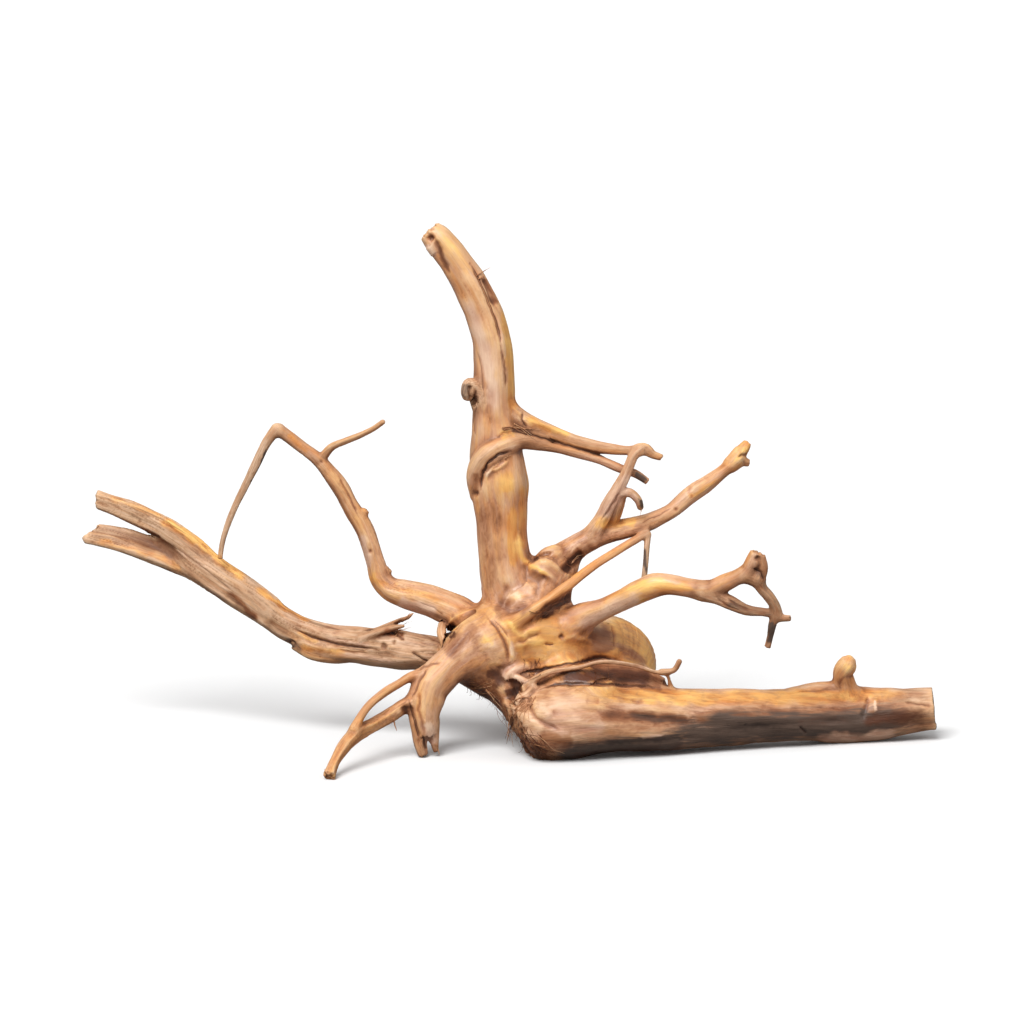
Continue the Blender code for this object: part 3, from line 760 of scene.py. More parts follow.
# Paint on the front, drawn in the same way, by kind: half width, strength and points.
PAINT = {
    "blush": [(16, 1, [(545, 706), (560, 724), (610, 722)])],
    "weathered": [(9, 0.9, [(866, 697), (932, 695)])],
    "ochre": [(5, 0.65, [(86, 540), (130, 549), (165, 562), (190, 578)]),
        (5, 0.6, [(100, 497), (140, 507), (165, 519)]),
        (6, 1, [(150, 513), (190, 537), (220, 560), (252, 586)]),
        (4, 0.9, [(250, 585), (280, 606), (315, 624)]), (4, 0.8, [(284, 432), (312, 452)]),
        (4, 0.7, [(296, 645), (320, 651), (350, 655)]), (4, 0.7, [(358, 722), (376, 718)]),
        (5, 0.8, [(380, 562), (372, 580), (400, 590), (450, 602)]), (4, 0.6, [(400, 676), (380, 690)]),
        (7, 1, [(502, 300), (511, 350), (514, 420)]), (10, 0.9, [(506, 470), (508, 495)]),
        (7, 1, [(514, 500), (512, 540), (516, 570)]), (12, 0.9, [(520, 650), (585, 650)]),
        (7, 1, [(524, 480), (524, 520), (524, 556)]), (4, 0.7, [(560, 582), (600, 560), (640, 536)]),
        (8, 1, [(560, 690), (700, 698), (932, 696)]), (9, 0.8, [(590, 604), (640, 586), (700, 588)]),
        (15, 1, [(626, 632), (645, 656)]), (5, 0.7, [(684, 500), (728, 474)])],
    # Gold: painted highlights where light catches ridges, tops and rims.
    "gold": [(3.5, 0.7, [(162, 518), (196, 542), (226, 568), (252, 589)]),
        (4, 0.6, [(294, 632), (318, 643)]), (6, 0.5, [(441, 232), (456, 252), (472, 280)]),
        (7, 0.7, [(478, 638), (488, 641), (496, 645)]), (5, 0.9, [(498, 617), (518, 631), (542, 641)]),
        (4, 0.8, [(499, 437), (508, 434), (518, 436)]), (5, 0.7, [(506, 310), (512, 350), (512, 405)]),
        (7, 0.8, [(514, 648), (560, 646), (590, 650)]), (9, 1, [(516, 643), (524, 655), (560, 654)]),
        (3, 1, [(518, 530), (519, 550), (524, 562), (535, 568), (552, 577)]),
        (6, 1, [(518, 658), (565, 655)]), (5, 0.9, [(523, 416), (545, 427), (575, 438)]),
        (3, 0.5, [(542, 547), (558, 547)]), (5, 0.6, [(563, 643), (588, 647)]),
        (8, 0.7, [(584, 630), (604, 618), (632, 606), (655, 597)]),
        (7, 0.7, [(590, 526), (612, 520), (640, 514)]), (5, 1, [(598, 526), (640, 521)]),
        (6, 0.7, [(610, 695), (660, 699), (720, 702)]), (5, 1, [(618, 590), (660, 583), (700, 590)]),
        (5, 0.4, [(730, 698), (860, 697)]), (5, 0.9, [(736, 462), (747, 445)]),
        (4, 0.6, [(846, 662), (848, 672)])],
    # Brown: bark colour, and painted shade on the crown's left, the neck's bottom, the bulb's shaded side and
    # the log's lower band.
    "brown": [(9, 0.45, [(95, 540), (130, 540), (175, 556), (215, 566)]),
        (4, 0.9, [(226, 590), (242, 605), (257, 621)]), (4, 0.8, [(246, 507), (246, 512)]),
        (8, 0.5, [(285, 620), (320, 632), (354, 632)]), (4, 0.6, [(302, 456), (318, 466)]),
        (5, 0.5, [(336, 476), (348, 498), (360, 520)]), (5, 0.9, [(382, 631), (396, 634), (404, 640)]),
        (5, 0.6, [(403, 700), (408, 716)]), (4, 0.7, [(438, 246), (449, 274)]),
        (5, 0.5, [(474, 662), (456, 684), (441, 704)]), (12, 0.8, [(446, 660), (458, 642), (482, 626)]),
        (4, 0.6, [(450, 614), (462, 626)]), (9, 0.9, [(452, 680), (478, 694), (500, 712)]),
        (4, 0.8, [(476, 470), (476, 494)]), (3, 0.4, [(479, 370), (477, 430)]),
        (6, 0.4, [(477, 466), (490, 450), (510, 446)]), (9, 0.6, [(483, 500), (487, 550), (490, 600)]),
        (3, 0.9, [(484, 277), (498, 309)]), (7, 0.5, [(499, 505), (498, 545), (490, 590)]),
        (9, 0.9, [(490, 610), (512, 604), (532, 608)]), (3, 0.5, [(502, 350), (506, 388)]),
        (4, 0.6, [(511, 676)]), (12, 1, [(516, 738), (530, 750), (552, 756)]),
        (8, 0.7, [(534, 696), (552, 692)]), (10, 0.9, [(535, 738), (575, 742)]),
        (6, 0.8, [(540, 612), (562, 600), (580, 596)]), (10, 0.7, [(556, 548), (572, 556), (594, 538)]),
        (6, 1, [(560, 572), (572, 560), (584, 556)]), (9, 0.55, [(574, 717), (602, 718)]),
        (7, 1, [(588, 713), (640, 717), (700, 721)]), (16, 1, [(594, 626), (603, 638), (606, 656)]),
        (4, 0.35, [(598, 541), (640, 535), (670, 522)]), (14, 0.5, [(600, 730), (680, 726)]),
        (7, 0.8, [(612, 640), (634, 656), (650, 668)]), (14, 0.45, [(618, 624), (642, 656)]),
        (8, 0.6, [(640, 730), (700, 728)]), (3, 0.3, [(648, 519), (672, 508), (692, 494)]),
        (9, 1, [(668, 718), (800, 716), (932, 711)]), (6, 0.7, [(716, 600), (740, 608), (756, 612)]),
        (2, 0.8, [(844, 674), (841, 682), (838, 690)]), (7, 0.5, [(866, 697), (932, 695)])],
    # Stain: dark grey-brown, mostly along the log's lower side, partly staining and partly painted shade.
    "stain": [(1.6, 1, [(271, 436), (256, 470), (243, 504), (230, 534), (219, 552)]),
        (4, 0.7, [(282, 640), (292, 647), (304, 653)]), (3, 0.5, [(380, 625), (396, 620), (412, 614)]),
        (5, 0.6, [(465, 382), (466, 400)]), (12, 1, [(545, 756), (620, 748), (700, 740)]),
        (6, 0.6, [(622, 714), (655, 718), (705, 720)]), (6, 0.8, [(634, 474), (648, 482)]),
        (3, 0.9, [(641, 500), (641, 510)]), (2.5, 1, [(644, 545), (645, 575)]),
        (16, 1, [(650, 738), (760, 730), (932, 722)]),
        (11, 1, [(682, 722), (780, 722), (860, 720), (932, 715)]),
        (4, 0.5, [(722, 602), (750, 611), (776, 612)]),
        (4, 0.45, [(750, 562), (762, 578), (775, 600), (788, 616)]), (6, 0.9, [(772, 618), (768, 645)])],
    # Pale: painted sheen and highlights, and partly pale bleached wood on the strips and lips.
    "pale": [(6, 0.4, [(165, 546), (205, 568), (240, 596)]), (3, 0.7, [(318, 637), (345, 643), (376, 646)]),
        (4, 0.6, [(330, 654), (370, 659), (402, 664)]), (5, 0.8, [(362, 530), (368, 570)]),
        (6, 0.9, [(394, 600), (412, 607), (440, 612)]), (4, 0.9, [(426, 244), (434, 260)]),
        (7, 1, [(428, 720), (434, 746)]), (6, 0.5, [(444, 678), (436, 700)]),
        (7, 0.9, [(462, 290), (484, 345), (493, 390), (497, 425)]), (4, 0.6, [(484, 478), (492, 468)]),
        (2, 0.5, [(492, 604), (500, 590), (512, 576)]), (2, 0.6, [(500, 614), (508, 598), (522, 582)]),
        (4, 0.5, [(502, 602), (509, 588), (519, 577)]),
        (2, 1, [(504, 680), (505, 673), (510, 668), (519, 667)]),
        (2, 0.5, [(510, 612), (520, 598), (534, 586)]), (3, 0.7, [(512, 640), (514, 656)]),
        (3, 0.8, [(512, 676), (521, 678), (531, 684)]), (8, 0.35, [(518, 653), (562, 651)]),
        (4, 0.5, [(524, 714), (536, 721), (550, 725)]),
        (3, 0.5, [(533, 682), (562, 669), (600, 661), (640, 666), (668, 673)]),
        (5, 0.3, [(540, 566), (550, 570)]), (7, 0.4, [(545, 704), (575, 701), (594, 704)]),
        (9, 0.9, [(576, 630), (596, 618), (622, 608), (645, 598)]),
        (9, 1, [(600, 522), (610, 508), (622, 488), (632, 470)]), (7, 0.7, [(600, 609), (642, 596)]),
        (6, 0.9, [(626, 516), (632, 508), (634, 492)]), (3, 0.7, [(636, 736), (668, 735)]),
        (5, 0.5, [(738, 464), (747, 450)]), (6, 0.9, [(812, 740), (860, 739), (905, 732)]),
        (6, 0.5, [(850, 666), (846, 680)]), (2.5, 0.9, [(877, 698), (875, 713)])],
    # Dark: painted shade in the recess under the strip, the cavities, folds and the bulb's shaded side.
    "dark": [(4, 0.5, [(226, 596), (240, 607), (256, 621)]), (6, 1, [(451, 630), (451, 640)]),
        (9, 0.7, [(470, 690), (492, 698), (506, 718)]), (9, 0.75, [(484, 672), (497, 674), (502, 690)]),
        (4, 0.8, [(510, 430), (524, 431), (534, 434)]), (9, 1, [(512, 686), (514, 696)]),
        (8, 0.6, [(512, 730), (522, 745), (545, 757)]), (3, 0.8, [(522, 669), (540, 671), (552, 668)]),
        (2, 0.6, [(528, 500), (529, 530), (532, 558)]), (3, 0.7, [(533, 560), (538, 555)]),
        (5, 0.7, [(538, 618), (552, 608), (574, 598)]),
        (8.5, 1, [(552, 682), (564, 679), (582, 677), (600, 675), (620, 675), (640, 677), (660, 682)]),
        (7, 0.6, [(560, 758), (650, 752), (700, 748)]), (5, 0.9, [(563, 574), (570, 562), (584, 554)]),
        (7, 0.35, [(592, 622), (600, 634), (604, 650)]),
        (4, 0.5, [(592, 712), (620, 715), (650, 718), (705, 722)]), (4, 0.7, [(664, 680), (668, 686)]),
        (8, 0.35, [(790, 722), (860, 720)]), (10, 0.7, [(858, 721), (900, 718), (936, 714)])],
    "polish": [(22, 1, [(500, 580), (520, 600), (560, 590)]), (18, 1, [(530, 650), (580, 640)]),
        (14, 1, [(540, 705), (580, 705)])],
}


# A thin line darkens the wood no further from it than LINE_REACH.
LINE_REACH = 5.0
THINNEST_CARVED = 1.5
# How dark each kind of stroke makes the wood: a crack or hairline is a dark line in the wood, while in pits
# and grooves the darkening is painted shade.
STROKE_DARKNESS = {"crack": 0.85, "hairline": 0.42, "pit": 0.7, "groove": 0.2, "dip": 0.0}
THIN_LINES = ("crack", "hairline")


def on_drawing(points):
    """Where each point lies on the board: right and down from its top left corner."""
    return points[:, 0] + CROWN_FOOT[0], CROWN_FOOT[1] - board_up(points)


def in_reach(line, reach, right, down):
    """Whether each point lies in the box around a drawn line, with reach to spare."""
    low, high = np.min(line, axis=0) - reach, np.max(line, axis=0) + reach
    return (right > low[0]) & (right < high[0]) & (down > low[1]) & (down < high[1])


def stroke_gap(line, right, down):
    """Signed distance from a drawn line, and a taper that falls off towards both its ends."""
    line = np.asarray(line, float)
    if len(line) == 1:
        return np.hypot(right - line[0, 0], down - line[0, 1]), np.ones(len(right))
    gaps = np.linalg.norm(np.diff(line, axis=0), axis=1)
    marks = run_lengths(line)
    best, place = np.full(len(right), 1e9), np.zeros(len(right))
    for i, gap in enumerate(gaps):
        way = (line[i + 1] - line[i]) / gap
        x, y = right - line[i, 0], down - line[i, 1]
        along = np.clip(x * way[0] + y * way[1], 0, gap)
        away = np.hypot(x - along * way[0], y - along * way[1])
        away = np.where(x * way[1] > y * way[0], away, -away)
        closer = np.abs(away) < np.abs(best)
        best = np.where(closer, away, best)
        place = np.where(closer, marks[i] + along, place)
    arch = np.sin(np.pi * np.clip(place / marks[-1], 0.03, 0.97))
    return best, np.clip(arch * 2.2, 0.0, 1.0)


def stroke_weight(line, half_width, right, down):
    """1 on a drawn line, easing to 0 beside it, and thinner towards both ends."""
    gap, taper = stroke_gap(line, right, down)
    return np.exp(-(gap / (half_width * (0.45 + 0.55 * taper)))**2) * taper


def each_stroke(table):
    """Every stroke of a table, with its kind in front."""
    return [(kind, *stroke) for kind, strokes in table.items() for stroke in strokes]


def draw_strokes(points, normals, owner, order_of):
    """How far the strokes move each point along its normal, and how dark they make it.

    A thin line is finer than the mesh. The signed distance to the nearest one is kept in
    half widths with its strength, so that the material can draw it sharply.
    """
    right, down = on_drawing(points)
    facing = ease(0.0, 0.35, normals @ TOWARD_VIEWER)
    move, dark, side, line_dark = np.zeros((4, len(points)))
    nearest, second = np.full((2, len(points)), FAR)
    for kind, names, half_width, depth, line in each_stroke(STROKES):
        near = in_reach(line, 3 * half_width + LINE_REACH, right, down)
        near = np.nonzero(near & belongs_to(owner, order_of, names))[0]
        if not len(near):
            continue
        wander = 0.9 * noise(points[near] * 0.16, 3) + 0.3 * half_width * noise(points[near] * 0.06, 4)
        place = right[near] + wander, down[near] + wander
        weight = stroke_weight(line, max(half_width, THINNEST_CARVED), *place) * facing[near]
        move[near] += weight * (depth if kind == "ridge" else -depth)
        if kind in THIN_LINES:
            gap, taper = stroke_gap(line, *place)
            away = np.abs(gap)
            closer = away < nearest[near]
            second[near] = np.where(closer, nearest[near], np.minimum(second[near], away))
            nearest[near] = np.where(closer, away, nearest[near])
            side[near] = np.where(closer, gap / (half_width * (0.4 + 0.6 * taper)), side[near])
            strength = STROKE_DARKNESS[kind] * np.minimum(taper * 1.5, 1.0) * facing[near]
            line_dark[near] = np.where(closer, strength, line_dark[near])
        elif kind != "ridge":
            # Pits and grooves: painted shade in the recess.
            dark[near] = np.maximum(dark[near], weight**1.5 * STROKE_DARKNESS[kind])
    line_dark *= ease(0.95, 0.5, nearest / second) * ease(LINE_REACH, 0.5 * LINE_REACH, nearest)
    return move, dark, np.clip(side, -6.0, 6.0), line_dark


def belongs_to(owner, order_of, names):
    """Whether each point lies on one of the named limbs."""
    return np.isin(owner, [order_of[name] for name in names])


def survey(limbs, points, paint, columns, blend=2.5):
    """For each point: the nearest limb, the gap to the next one, its place, and mixed paint.

    Paint gives a limb's own values at a place on it. Where limbs meet, they mix over blend.
    """
    count = len(points)
    first, second = np.full((2, count), FAR)
    owner = np.zeros(count, np.int64)
    place = np.zeros((count, 3))
    mixed, weights = np.zeros((count, columns)), np.full(count, 1e-9)
    for limb in limbs:
        near = limb.within(points, 8.0)
        if not len(near):
            continue
        distance, _, spot = limb.measure(points[near])
        distance = np.maximum(distance, -2.0)
        closer = distance < first[near]
        second[near] = np.where(closer, first[near], np.minimum(second[near], distance))
        first[near] = np.where(closer, distance, first[near])
        owner[near] = np.where(closer, limb.order, owner[near])
        place[near] = np.where(closer[:, None], spot + limb.shift, place[near])
        touched = distance < 9.0
        part = near[touched]
        weight = np.exp(-np.maximum(distance[touched], 0) / blend)
        mixed[part] += paint(limb, spot[touched]) * weight[:, None]
        weights[part] += weight
    return owner, second - first, place, mixed / weights[:, None]


# The limbs' own relief: how deep flutes are as a share of the radius, how large lumps and
# grooved patches are, and how dark the long checks on the sides and the back are.
FLUTE_DEPTH = 0.055
LUMP_CELL = (15.0, 15.0, 24.0)
PATCH_CELL = (22.0, 22.0, 70.0)
CHECK_DARKNESS = 0.8
# Limbs too thin for deep carving, and the share of it that they take.
THIN_LIMBS = ("hanging_twig", "low_branch_spur")
THIN_SHARE = 0.3


def side_checks(limb):
    """Dry checks as (turn, start, length, half width, depth), kept off the limb's front."""
    mean = limb.radius.mean()
    if mean < 5.0:
        return []
    draw = np.random.RandomState(900 + limb.order)
    checks = []
    for _ in range(int(limb.along[-1] * mean / 900) + 2):
        turn = draw.uniform(-1.0, 1.0) * math.pi * 0.58 - math.pi / 2
        length = draw.uniform(1.5, 5.0) * mean
        start = draw.uniform(0.0, max(1.0, limb.along[-1] - length))
        depth = draw.uniform(1.1, 1.6) * limb.groove
        checks.append((turn, start, length, draw.uniform(0.9, 1.5), depth))
    return checks


def stretched(width, stretch):
    """A noise cell of this width that runs along the limb."""
    return width, width, width * stretch


def grooved(limb, spot):
    """Height of the limb's own lumps, flutes, grooves and checks, and how dark the cuts are."""
    mean = float(limb.radius.mean())
    polish = FINISH[limb.name][-1]
    radius = np.interp(spot[:, 2], limb.along, limb.radius)
    spiral = spot[:, 2] * limb.twist * 2.5
    turned = spot.copy()
    turned[:, 0] = spot[:, 0] * np.cos(spiral) - spot[:, 1] * np.sin(spiral)
    turned[:, 1] = spot[:, 0] * np.sin(spiral) + spot[:, 1] * np.cos(spiral)
    turned = turned + limb.shift
    wide = np.clip(mean * 0.5, 3.0, 11.0)
    fine = np.clip(mean * 0.22, 2.6, 4.4)
    flutes = noise(turned / stretched(wide, 9), 11) * radius * FLUTE_DEPTH * (1.25 - polish)
    lumps = noise(turned / LUMP_CELL, 12) * np.minimum(radius * 0.12, 1.0)
    lines = noise(turned / stretched(fine, 16), 13)
    patch = ease(-0.25, 0.35, noise(turned / PATCH_CELL, 14))
    valley = np.clip(1.0 - np.abs(lines) / 0.22, 0.0, 1.0)**1.5 * patch
    ribs = noise(turned / (fine * 0.9, fine * 0.9, fine * 12), 15)
    raw = limb.groove * (1.15 - polish)
    height = flutes + lumps + raw * (0.28 * ribs - 0.75 * valley)
    dark = 0.25 * (1.1 - polish) * valley
    turn = np.arctan2(spot[:, 1], spot[:, 0])
    for middle, start, length, half_width, depth in side_checks(limb):
        t = (spot[:, 2] - start) / length
        wave = np.sin(spot[:, 2] / (9.0 + 2 * half_width) + middle * 5)
        wander = 0.35 * wave / np.maximum(radius, 4.0) * 3
        gap = np.abs((turn - middle - wander + math.pi) % (2 * math.pi) - math.pi) * radius
        weight = np.exp(-(gap / half_width)**2) * np.sqrt(np.clip(4 * t * (1 - t), 0.0, 1.0))
        height = height - depth * weight
        dark = np.maximum(dark, CHECK_DARKNESS * weight)
    return np.stack([height, dark, np.maximum(radius, 2.0)], 1)


def carve(skin, limbs, order_of):
    """Lays grooves, lumps and the drawn strokes into the settled skin."""
    points, normals = read_points(skin.data), read_normals(skin.data)
    owner, _, _, marks = survey(limbs, points, grooved, 3)
    move = draw_strokes(points, normals, owner, order_of)[0]
    share = np.where(belongs_to(owner, order_of, THIN_LIMBS), THIN_SHARE, 1.0)
    points = points + normals * ((marks[:, 0] + move) * share)[:, None]
    points[:, 2] = np.maximum(points[:, 2], 0.0)
    write_points(skin.data, points)


def thin_out(skin, triangles):
    """Brings the skin down to so many triangles and shades it smooth."""
    mesh = skin.data
    mesh.calc_loop_triangles()
    full = len(mesh.loop_triangles)
    if full > triangles:
        decimate = skin.modifiers.new("thin_out", "DECIMATE")
        decimate.ratio = triangles / full
        decimate.use_collapse_triangulate = True
        apply_modifiers(skin)
    skin.data.shade_smooth()


# Finish. Each limb's own share of the traits, in the order of TRAITS.
TRAITS = ("ochre", "blush", "weathered", "brown", "polish")
FINISH = {
    "crown": (0.75, 0.3, 0, 0.35, 0.95), "trunk": (0.42, 0.5, 0.05, 0.2, 0.8),
    "neck": (0.45, 0.2, 0, 0.55, 0.8), "bulb": (1, 0, 0, 0.2, 1), "log": (0.25, 0.45, 0.2, 0.35, 0.65),
    "log_root": (0.75, 0.2, 0, 0.35, 0.85), "rear_foot": (0.4, 0.2, 0.3, 0.4, 0.4),
    "back_stub": (0.3, 0.3, 0.4, 0.2, 0.4), "bough": (0.2, 0.35, 0.6, 0.25, 0.4),
    "bough_upper_ridge": (0.25, 0.2, 0.65, 0.15, 0.4), "bough_lower_ridge": (0.25, 0.2, 0.65, 0.15, 0.4),
    "front_leg": (0.4, 0.6, 0.05, 0.25, 0.8), "low_branch": (0.45, 0.6, 0.05, 0.2, 0.75),
    "right_branch": (0.35, 0.5, 0.2, 0.15, 0.55), "crooked_branch": (0.4, 0.45, 0.25, 0.3, 0.5),
    "shoulder_lobe": (0.35, 0.5, 0, 0.35, 0.9), "shoulder_web": (0.45, 0.25, 0, 0.5, 0.9),
    "hub_curl": (0, 0.7, 0.2, 0.2, 0.7), "butt_strand": (0.1, 0.7, 0.3, 0, 0.6),
    "butt_drip": (0.1, 0.5, 0.5, 0.1, 0.4), "bough_splinter_low": (0.2, 0.2, 0.6, 0.3, 0.2),
    "crown_strand": (0.2, 0.4, 0.5, 0.2, 0.3), "crooked_knot": (0.6, 0.2, 0.2, 0.2, 0.3),
    "crooked_spur": (0.3, 0.2, 0.4, 0.5, 0.2), "bough_bark": (0.45, 0.3, 0.4, 0.25, 0.2),
    "trunk_knob": (0.1, 0.3, 0.6, 0.3, 0.2), "collar": (0.35, 0.5, 0.1, 0.15, 0.6),
    "branch_web": (0.3, 0.2, 0.2, 0.6, 0.3), "high_branch": (0.4, 0.35, 0.35, 0.15, 0.5),
    "shoulder_knob": (0.6, 0.3, 0, 0.45, 0.85), "crossing_stick": (0.25, 0.5, 0.4, 0.1, 0.4),
    "crossing_strand": (0.3, 0.3, 0.4, 0.1, 0.3), "curved_twig": (0.3, 0.3, 0.6, 0, 0.3),
    "thin_stick": (0.5, 0.4, 0.15, 0.1, 0.6), "hanging_twig": (0.1, 0.3, 0.8, 0.1, 0.3),
    "low_branch_lump": (0.1, 0.1, 0.5, 0.7, 0.2), "low_branch_outer": (0.2, 0.2, 0.5, 0.4, 0.3),
    "low_branch_inner": (0.1, 0.1, 0.7, 0.55, 0.15), "low_branch_tip": (0.15, 0.2, 0.5, 0.5, 0.2),
    "low_branch_spur": (0.15, 0.2, 0.5, 0.5, 0.2), "bough_splinter": (0.3, 0.3, 0.5, 0.2, 0.3),
    "crooked_twig": (0.35, 0.3, 0.6, 0, 0.4), "elbow_twig": (0.2, 0.3, 0.7, 0.1, 0.3),
    "front_leg_thin_root": (0.4, 0.3, 0.3, 0.25, 0.4), "front_leg_thick_root": (0.45, 0.3, 0.3, 0.2, 0.4),
    "log_stub": (0.5, 0.3, 0.2, 0.2, 0.5), "log_lump": (0.4, 0.3, 0.25, 0.2, 0.5),
    "strip": (0.3, 0, 0.6, 0, 0.3), "strip_hook": (0.2, 0.2, 0.4, 0.5, 0.3),
    "strip_web": (0.1, 0, 0.2, 1, 0.1), "log_chip": (0.2, 0.2, 0.4, 0.4, 0.2),
    "foot_prong": (0.3, 0.4, 0.3, 0.3, 0.3), "foot_splinter": (0.2, 0.3, 0.3, 0.5, 0.3),
    "branch_lip_high": (0.7, 0.2, 0.2, 0.2, 0.4), "branch_lip_low": (0.5, 0.3, 0.2, 0.3, 0.4),
}
# Kinds that only strokes lay: gold and pale are painted highlights and sheen, dark is painted shade, and
# stain darkens the log's lower side, partly staining and partly painted shade.
PAINTED_ONLY = ("gold", "pale", "stain", "dark")
# Bends in the skin, in millimetres, that count as a full hollow or crest. Hollows get painted shade and
# crests a painted highlight.
FINE_BEND = 0.3
BROAD_HOLLOW, BROAD_CREST = 1.4, 1.2
# Rays that look for nearby wood over a point: how many, how far, and how wide they spread. The share they
# find blocked is painted into the wood's colour as shade.
SHADE_RAYS, SHADE_REACH, SHADE_SPREAD = 12, 32.0, 0.95
RAY_START = 0.6


def limb_finish(limb, spot):
    """The limb's own finish at each place on it."""
    return np.tile(FINISH[limb.name], (len(spot), 1))


def lay_paint(points, normals, tints):
    """Adds the paint strokes, with ragged edges, to the limbs' own finish."""
    right, down = on_drawing(points)
    right = right + 3.0 * layered(points / 13.0, 2, 31)
    down = down + 3.0 * layered(points / 13.0, 2, 37)
    facing = ease(-0.25, 0.3, normals @ TOWARD_VIEWER)
    for kind, half_width, strength, line in each_stroke(PAINT):
        near = np.nonzero(in_reach(line, 2.5 * half_width, right, down) & (facing > 0))[0]
        weight = stroke_weight(line, half_width, right[near], down[near]) * strength * facing[near]
        tints[kind][near] = np.maximum(tints[kind][near], weight)


def own_bends(points, normals, edges, rounds, radius):
    """How far each point lies below (+) or above (-) its surroundings, round limbs set to 0."""
    bend = ((relax(points, edges, rounds, 0.6) - points) * normals).sum(1)
    return (bend - np.median(bend * radius) / radius) * ease(3.0, 9.0, radius)


def closed_in(skin, points, normals):
    """Share of the sky over each point that nearby wood blocks."""
    tree = BVHTree.FromPolygons(
        [tuple(point) for point in points], [tuple(face.vertices) for face in skin.data.polygons])
    draw = np.random.RandomState(12)
    blocked = np.zeros(len(points))
    for ray in unit(draw.normal(size=(SHADE_RAYS, 3))):
        ways = unit(normals + ray * SHADE_SPREAD)
        starts = points + normals * RAY_START
        for i in range(len(points)):
            if tree.ray_cast(Vector(starts[i]), Vector(ways[i]), SHADE_REACH)[0] is not None:
                blocked[i] += 1
    return blocked / SHADE_RAYS


def write_attribute(mesh, name, values):
    """Stores one number, or one vector, for each point of a mesh."""
    values = np.ascontiguousarray(values, np.float32)
    if values.ndim == 1:
        mesh.attributes.new(name, "FLOAT", "POINT").data.foreach_set("value", values)
    else:
        mesh.attributes.new(name, "FLOAT_VECTOR", "POINT").data.foreach_set("vector", values.ravel())


def write_finish(skin, limbs, order_of):
    """Stores the grain's direction and every tint and wear mask on the finished skin."""
    mesh = skin.data
    points, normals, edges = read_points(mesh), read_normals(mesh), read_edges(mesh)
    owner, gap, place, traits = survey(limbs, points, limb_finish, len(TRAITS), 5.0)
    tints = {name: traits[:, i].copy() for i, name in enumerate(TRAITS)}
    tints.update((name, np.zeros(len(points))) for name in PAINTED_ONLY)
    lay_paint(points, normals, tints)
    # No painted shade from the dark strokes on the pale strips and strands.
    tints["dark"][belongs_to(owner, order_of, PALE_EDGES)] = 0.0
    _, cuts, radius = survey(limbs, points, grooved, 3)[3].T
    _, drawn, tints["line_side"], tints["line"] = draw_strokes(points, normals, owner, order_of)
    fine = own_bends(points, normals, edges, 3, radius)
    broad = own_bends(points, normals, edges, 24, radius)
    tints["crack"] = even_out(np.clip(np.maximum(cuts, drawn), 0.0, 1.0), edges, 1)
    # Painted shade in hollows and a painted highlight on crests.
    tints["hollow"] = np.clip(fine / FINE_BEND, 0.0, 1.0) * 0.5 + np.clip(broad / BROAD_HOLLOW, 0.0, 1.0)
    tints["crest"] = np.clip(-fine / FINE_BEND, 0.0, 1.0) * 0.5 + np.clip(-broad / BROAD_CREST, 0.0, 1.0)
    # Painted shade where nearby wood closes in.
    tints["shade"] = even_out(closed_in(skin, points, normals), edges, 2)
    tints["seam"] = ease(0.0, 2.5, gap)
    # Painted shade on the undersides: the wood turns darker the more it faces down.
    tints["under"] = ease(0.25, -0.75, even_out(normals[:, 2], edges, 6))
    for name, values in tints.items():
        write_attribute(mesh, name, values)
    write_attribute(mesh, "grain", place)


def mark_sawn_end(mesh):
    """Gives the faces on the saw plane the second material."""
    point, way, _ = CUTS["log"][0]
    for face in mesh.polygons:
        centre = np.array(face.center) / MM
        if abs((centre - point) @ way) < 1.5 and np.array(face.normal) @ way > 0.8:
            face.material_index = 1


# Strands. Front tufts are drawn on the board and cling to the wood behind them: count,
# thickness, spread at root and tip, lift off the wood, curl, and the middle line.
HAIR_TUFTS = [
    (16, 0.34, 8, 11, 0.5, 4.0, [(522, 732), (529, 744), (538, 756)]),
    (14, 0.32, 8, 12, 0.5, 4.5, [(536, 736), (543, 746), (554, 757)]),
    (12, 0.3, 7, 12, 0.5, 4.0, [(520, 740), (532, 742), (548, 746)]),
    (8, 0.3, 6, 9, 0.8, 3.0, [(512, 716), (510, 728), (514, 740)]),
    (3, 0.3, 5, 6, 1.0, 2.5, [(508, 698), (514, 700), (520, 704)]),
    (14, 0.26, 9, 10, 0.6, 1.5, [(532, 667), (534, 672), (533, 679)]),
    (10, 0.3, 8, 12, 1.5, 3.0, [(494, 704), (498, 714), (508, 722)]),
    (10, 0.26, 10, 10, 1.0, 2.5, [(476, 686), (486, 692), (497, 697)]),
    (7, 0.26, 7, 8, 1.5, 2.5, [(466, 682), (478, 687), (488, 684)]),
    (3, 0.22, 2, 3, 0.6, 0.5, [(595, 671), (595, 681), (594, 689)]),
    (2, 0.22, 2, 3, 0.6, 0.5, [(608, 666), (608, 678), (609, 688)]),
    (12, 0.24, 7, 8, 0.6, 2.0, [(536, 618), (548, 612), (562, 604)]),
    (5, 0.26, 4, 6, 1.0, 2.0, [(566, 560), (572, 566), (570, 574)]),
    (8, 0.3, 5, 6, 0.6, 2.0, [(448, 628), (452, 635), (450, 643)]),
]
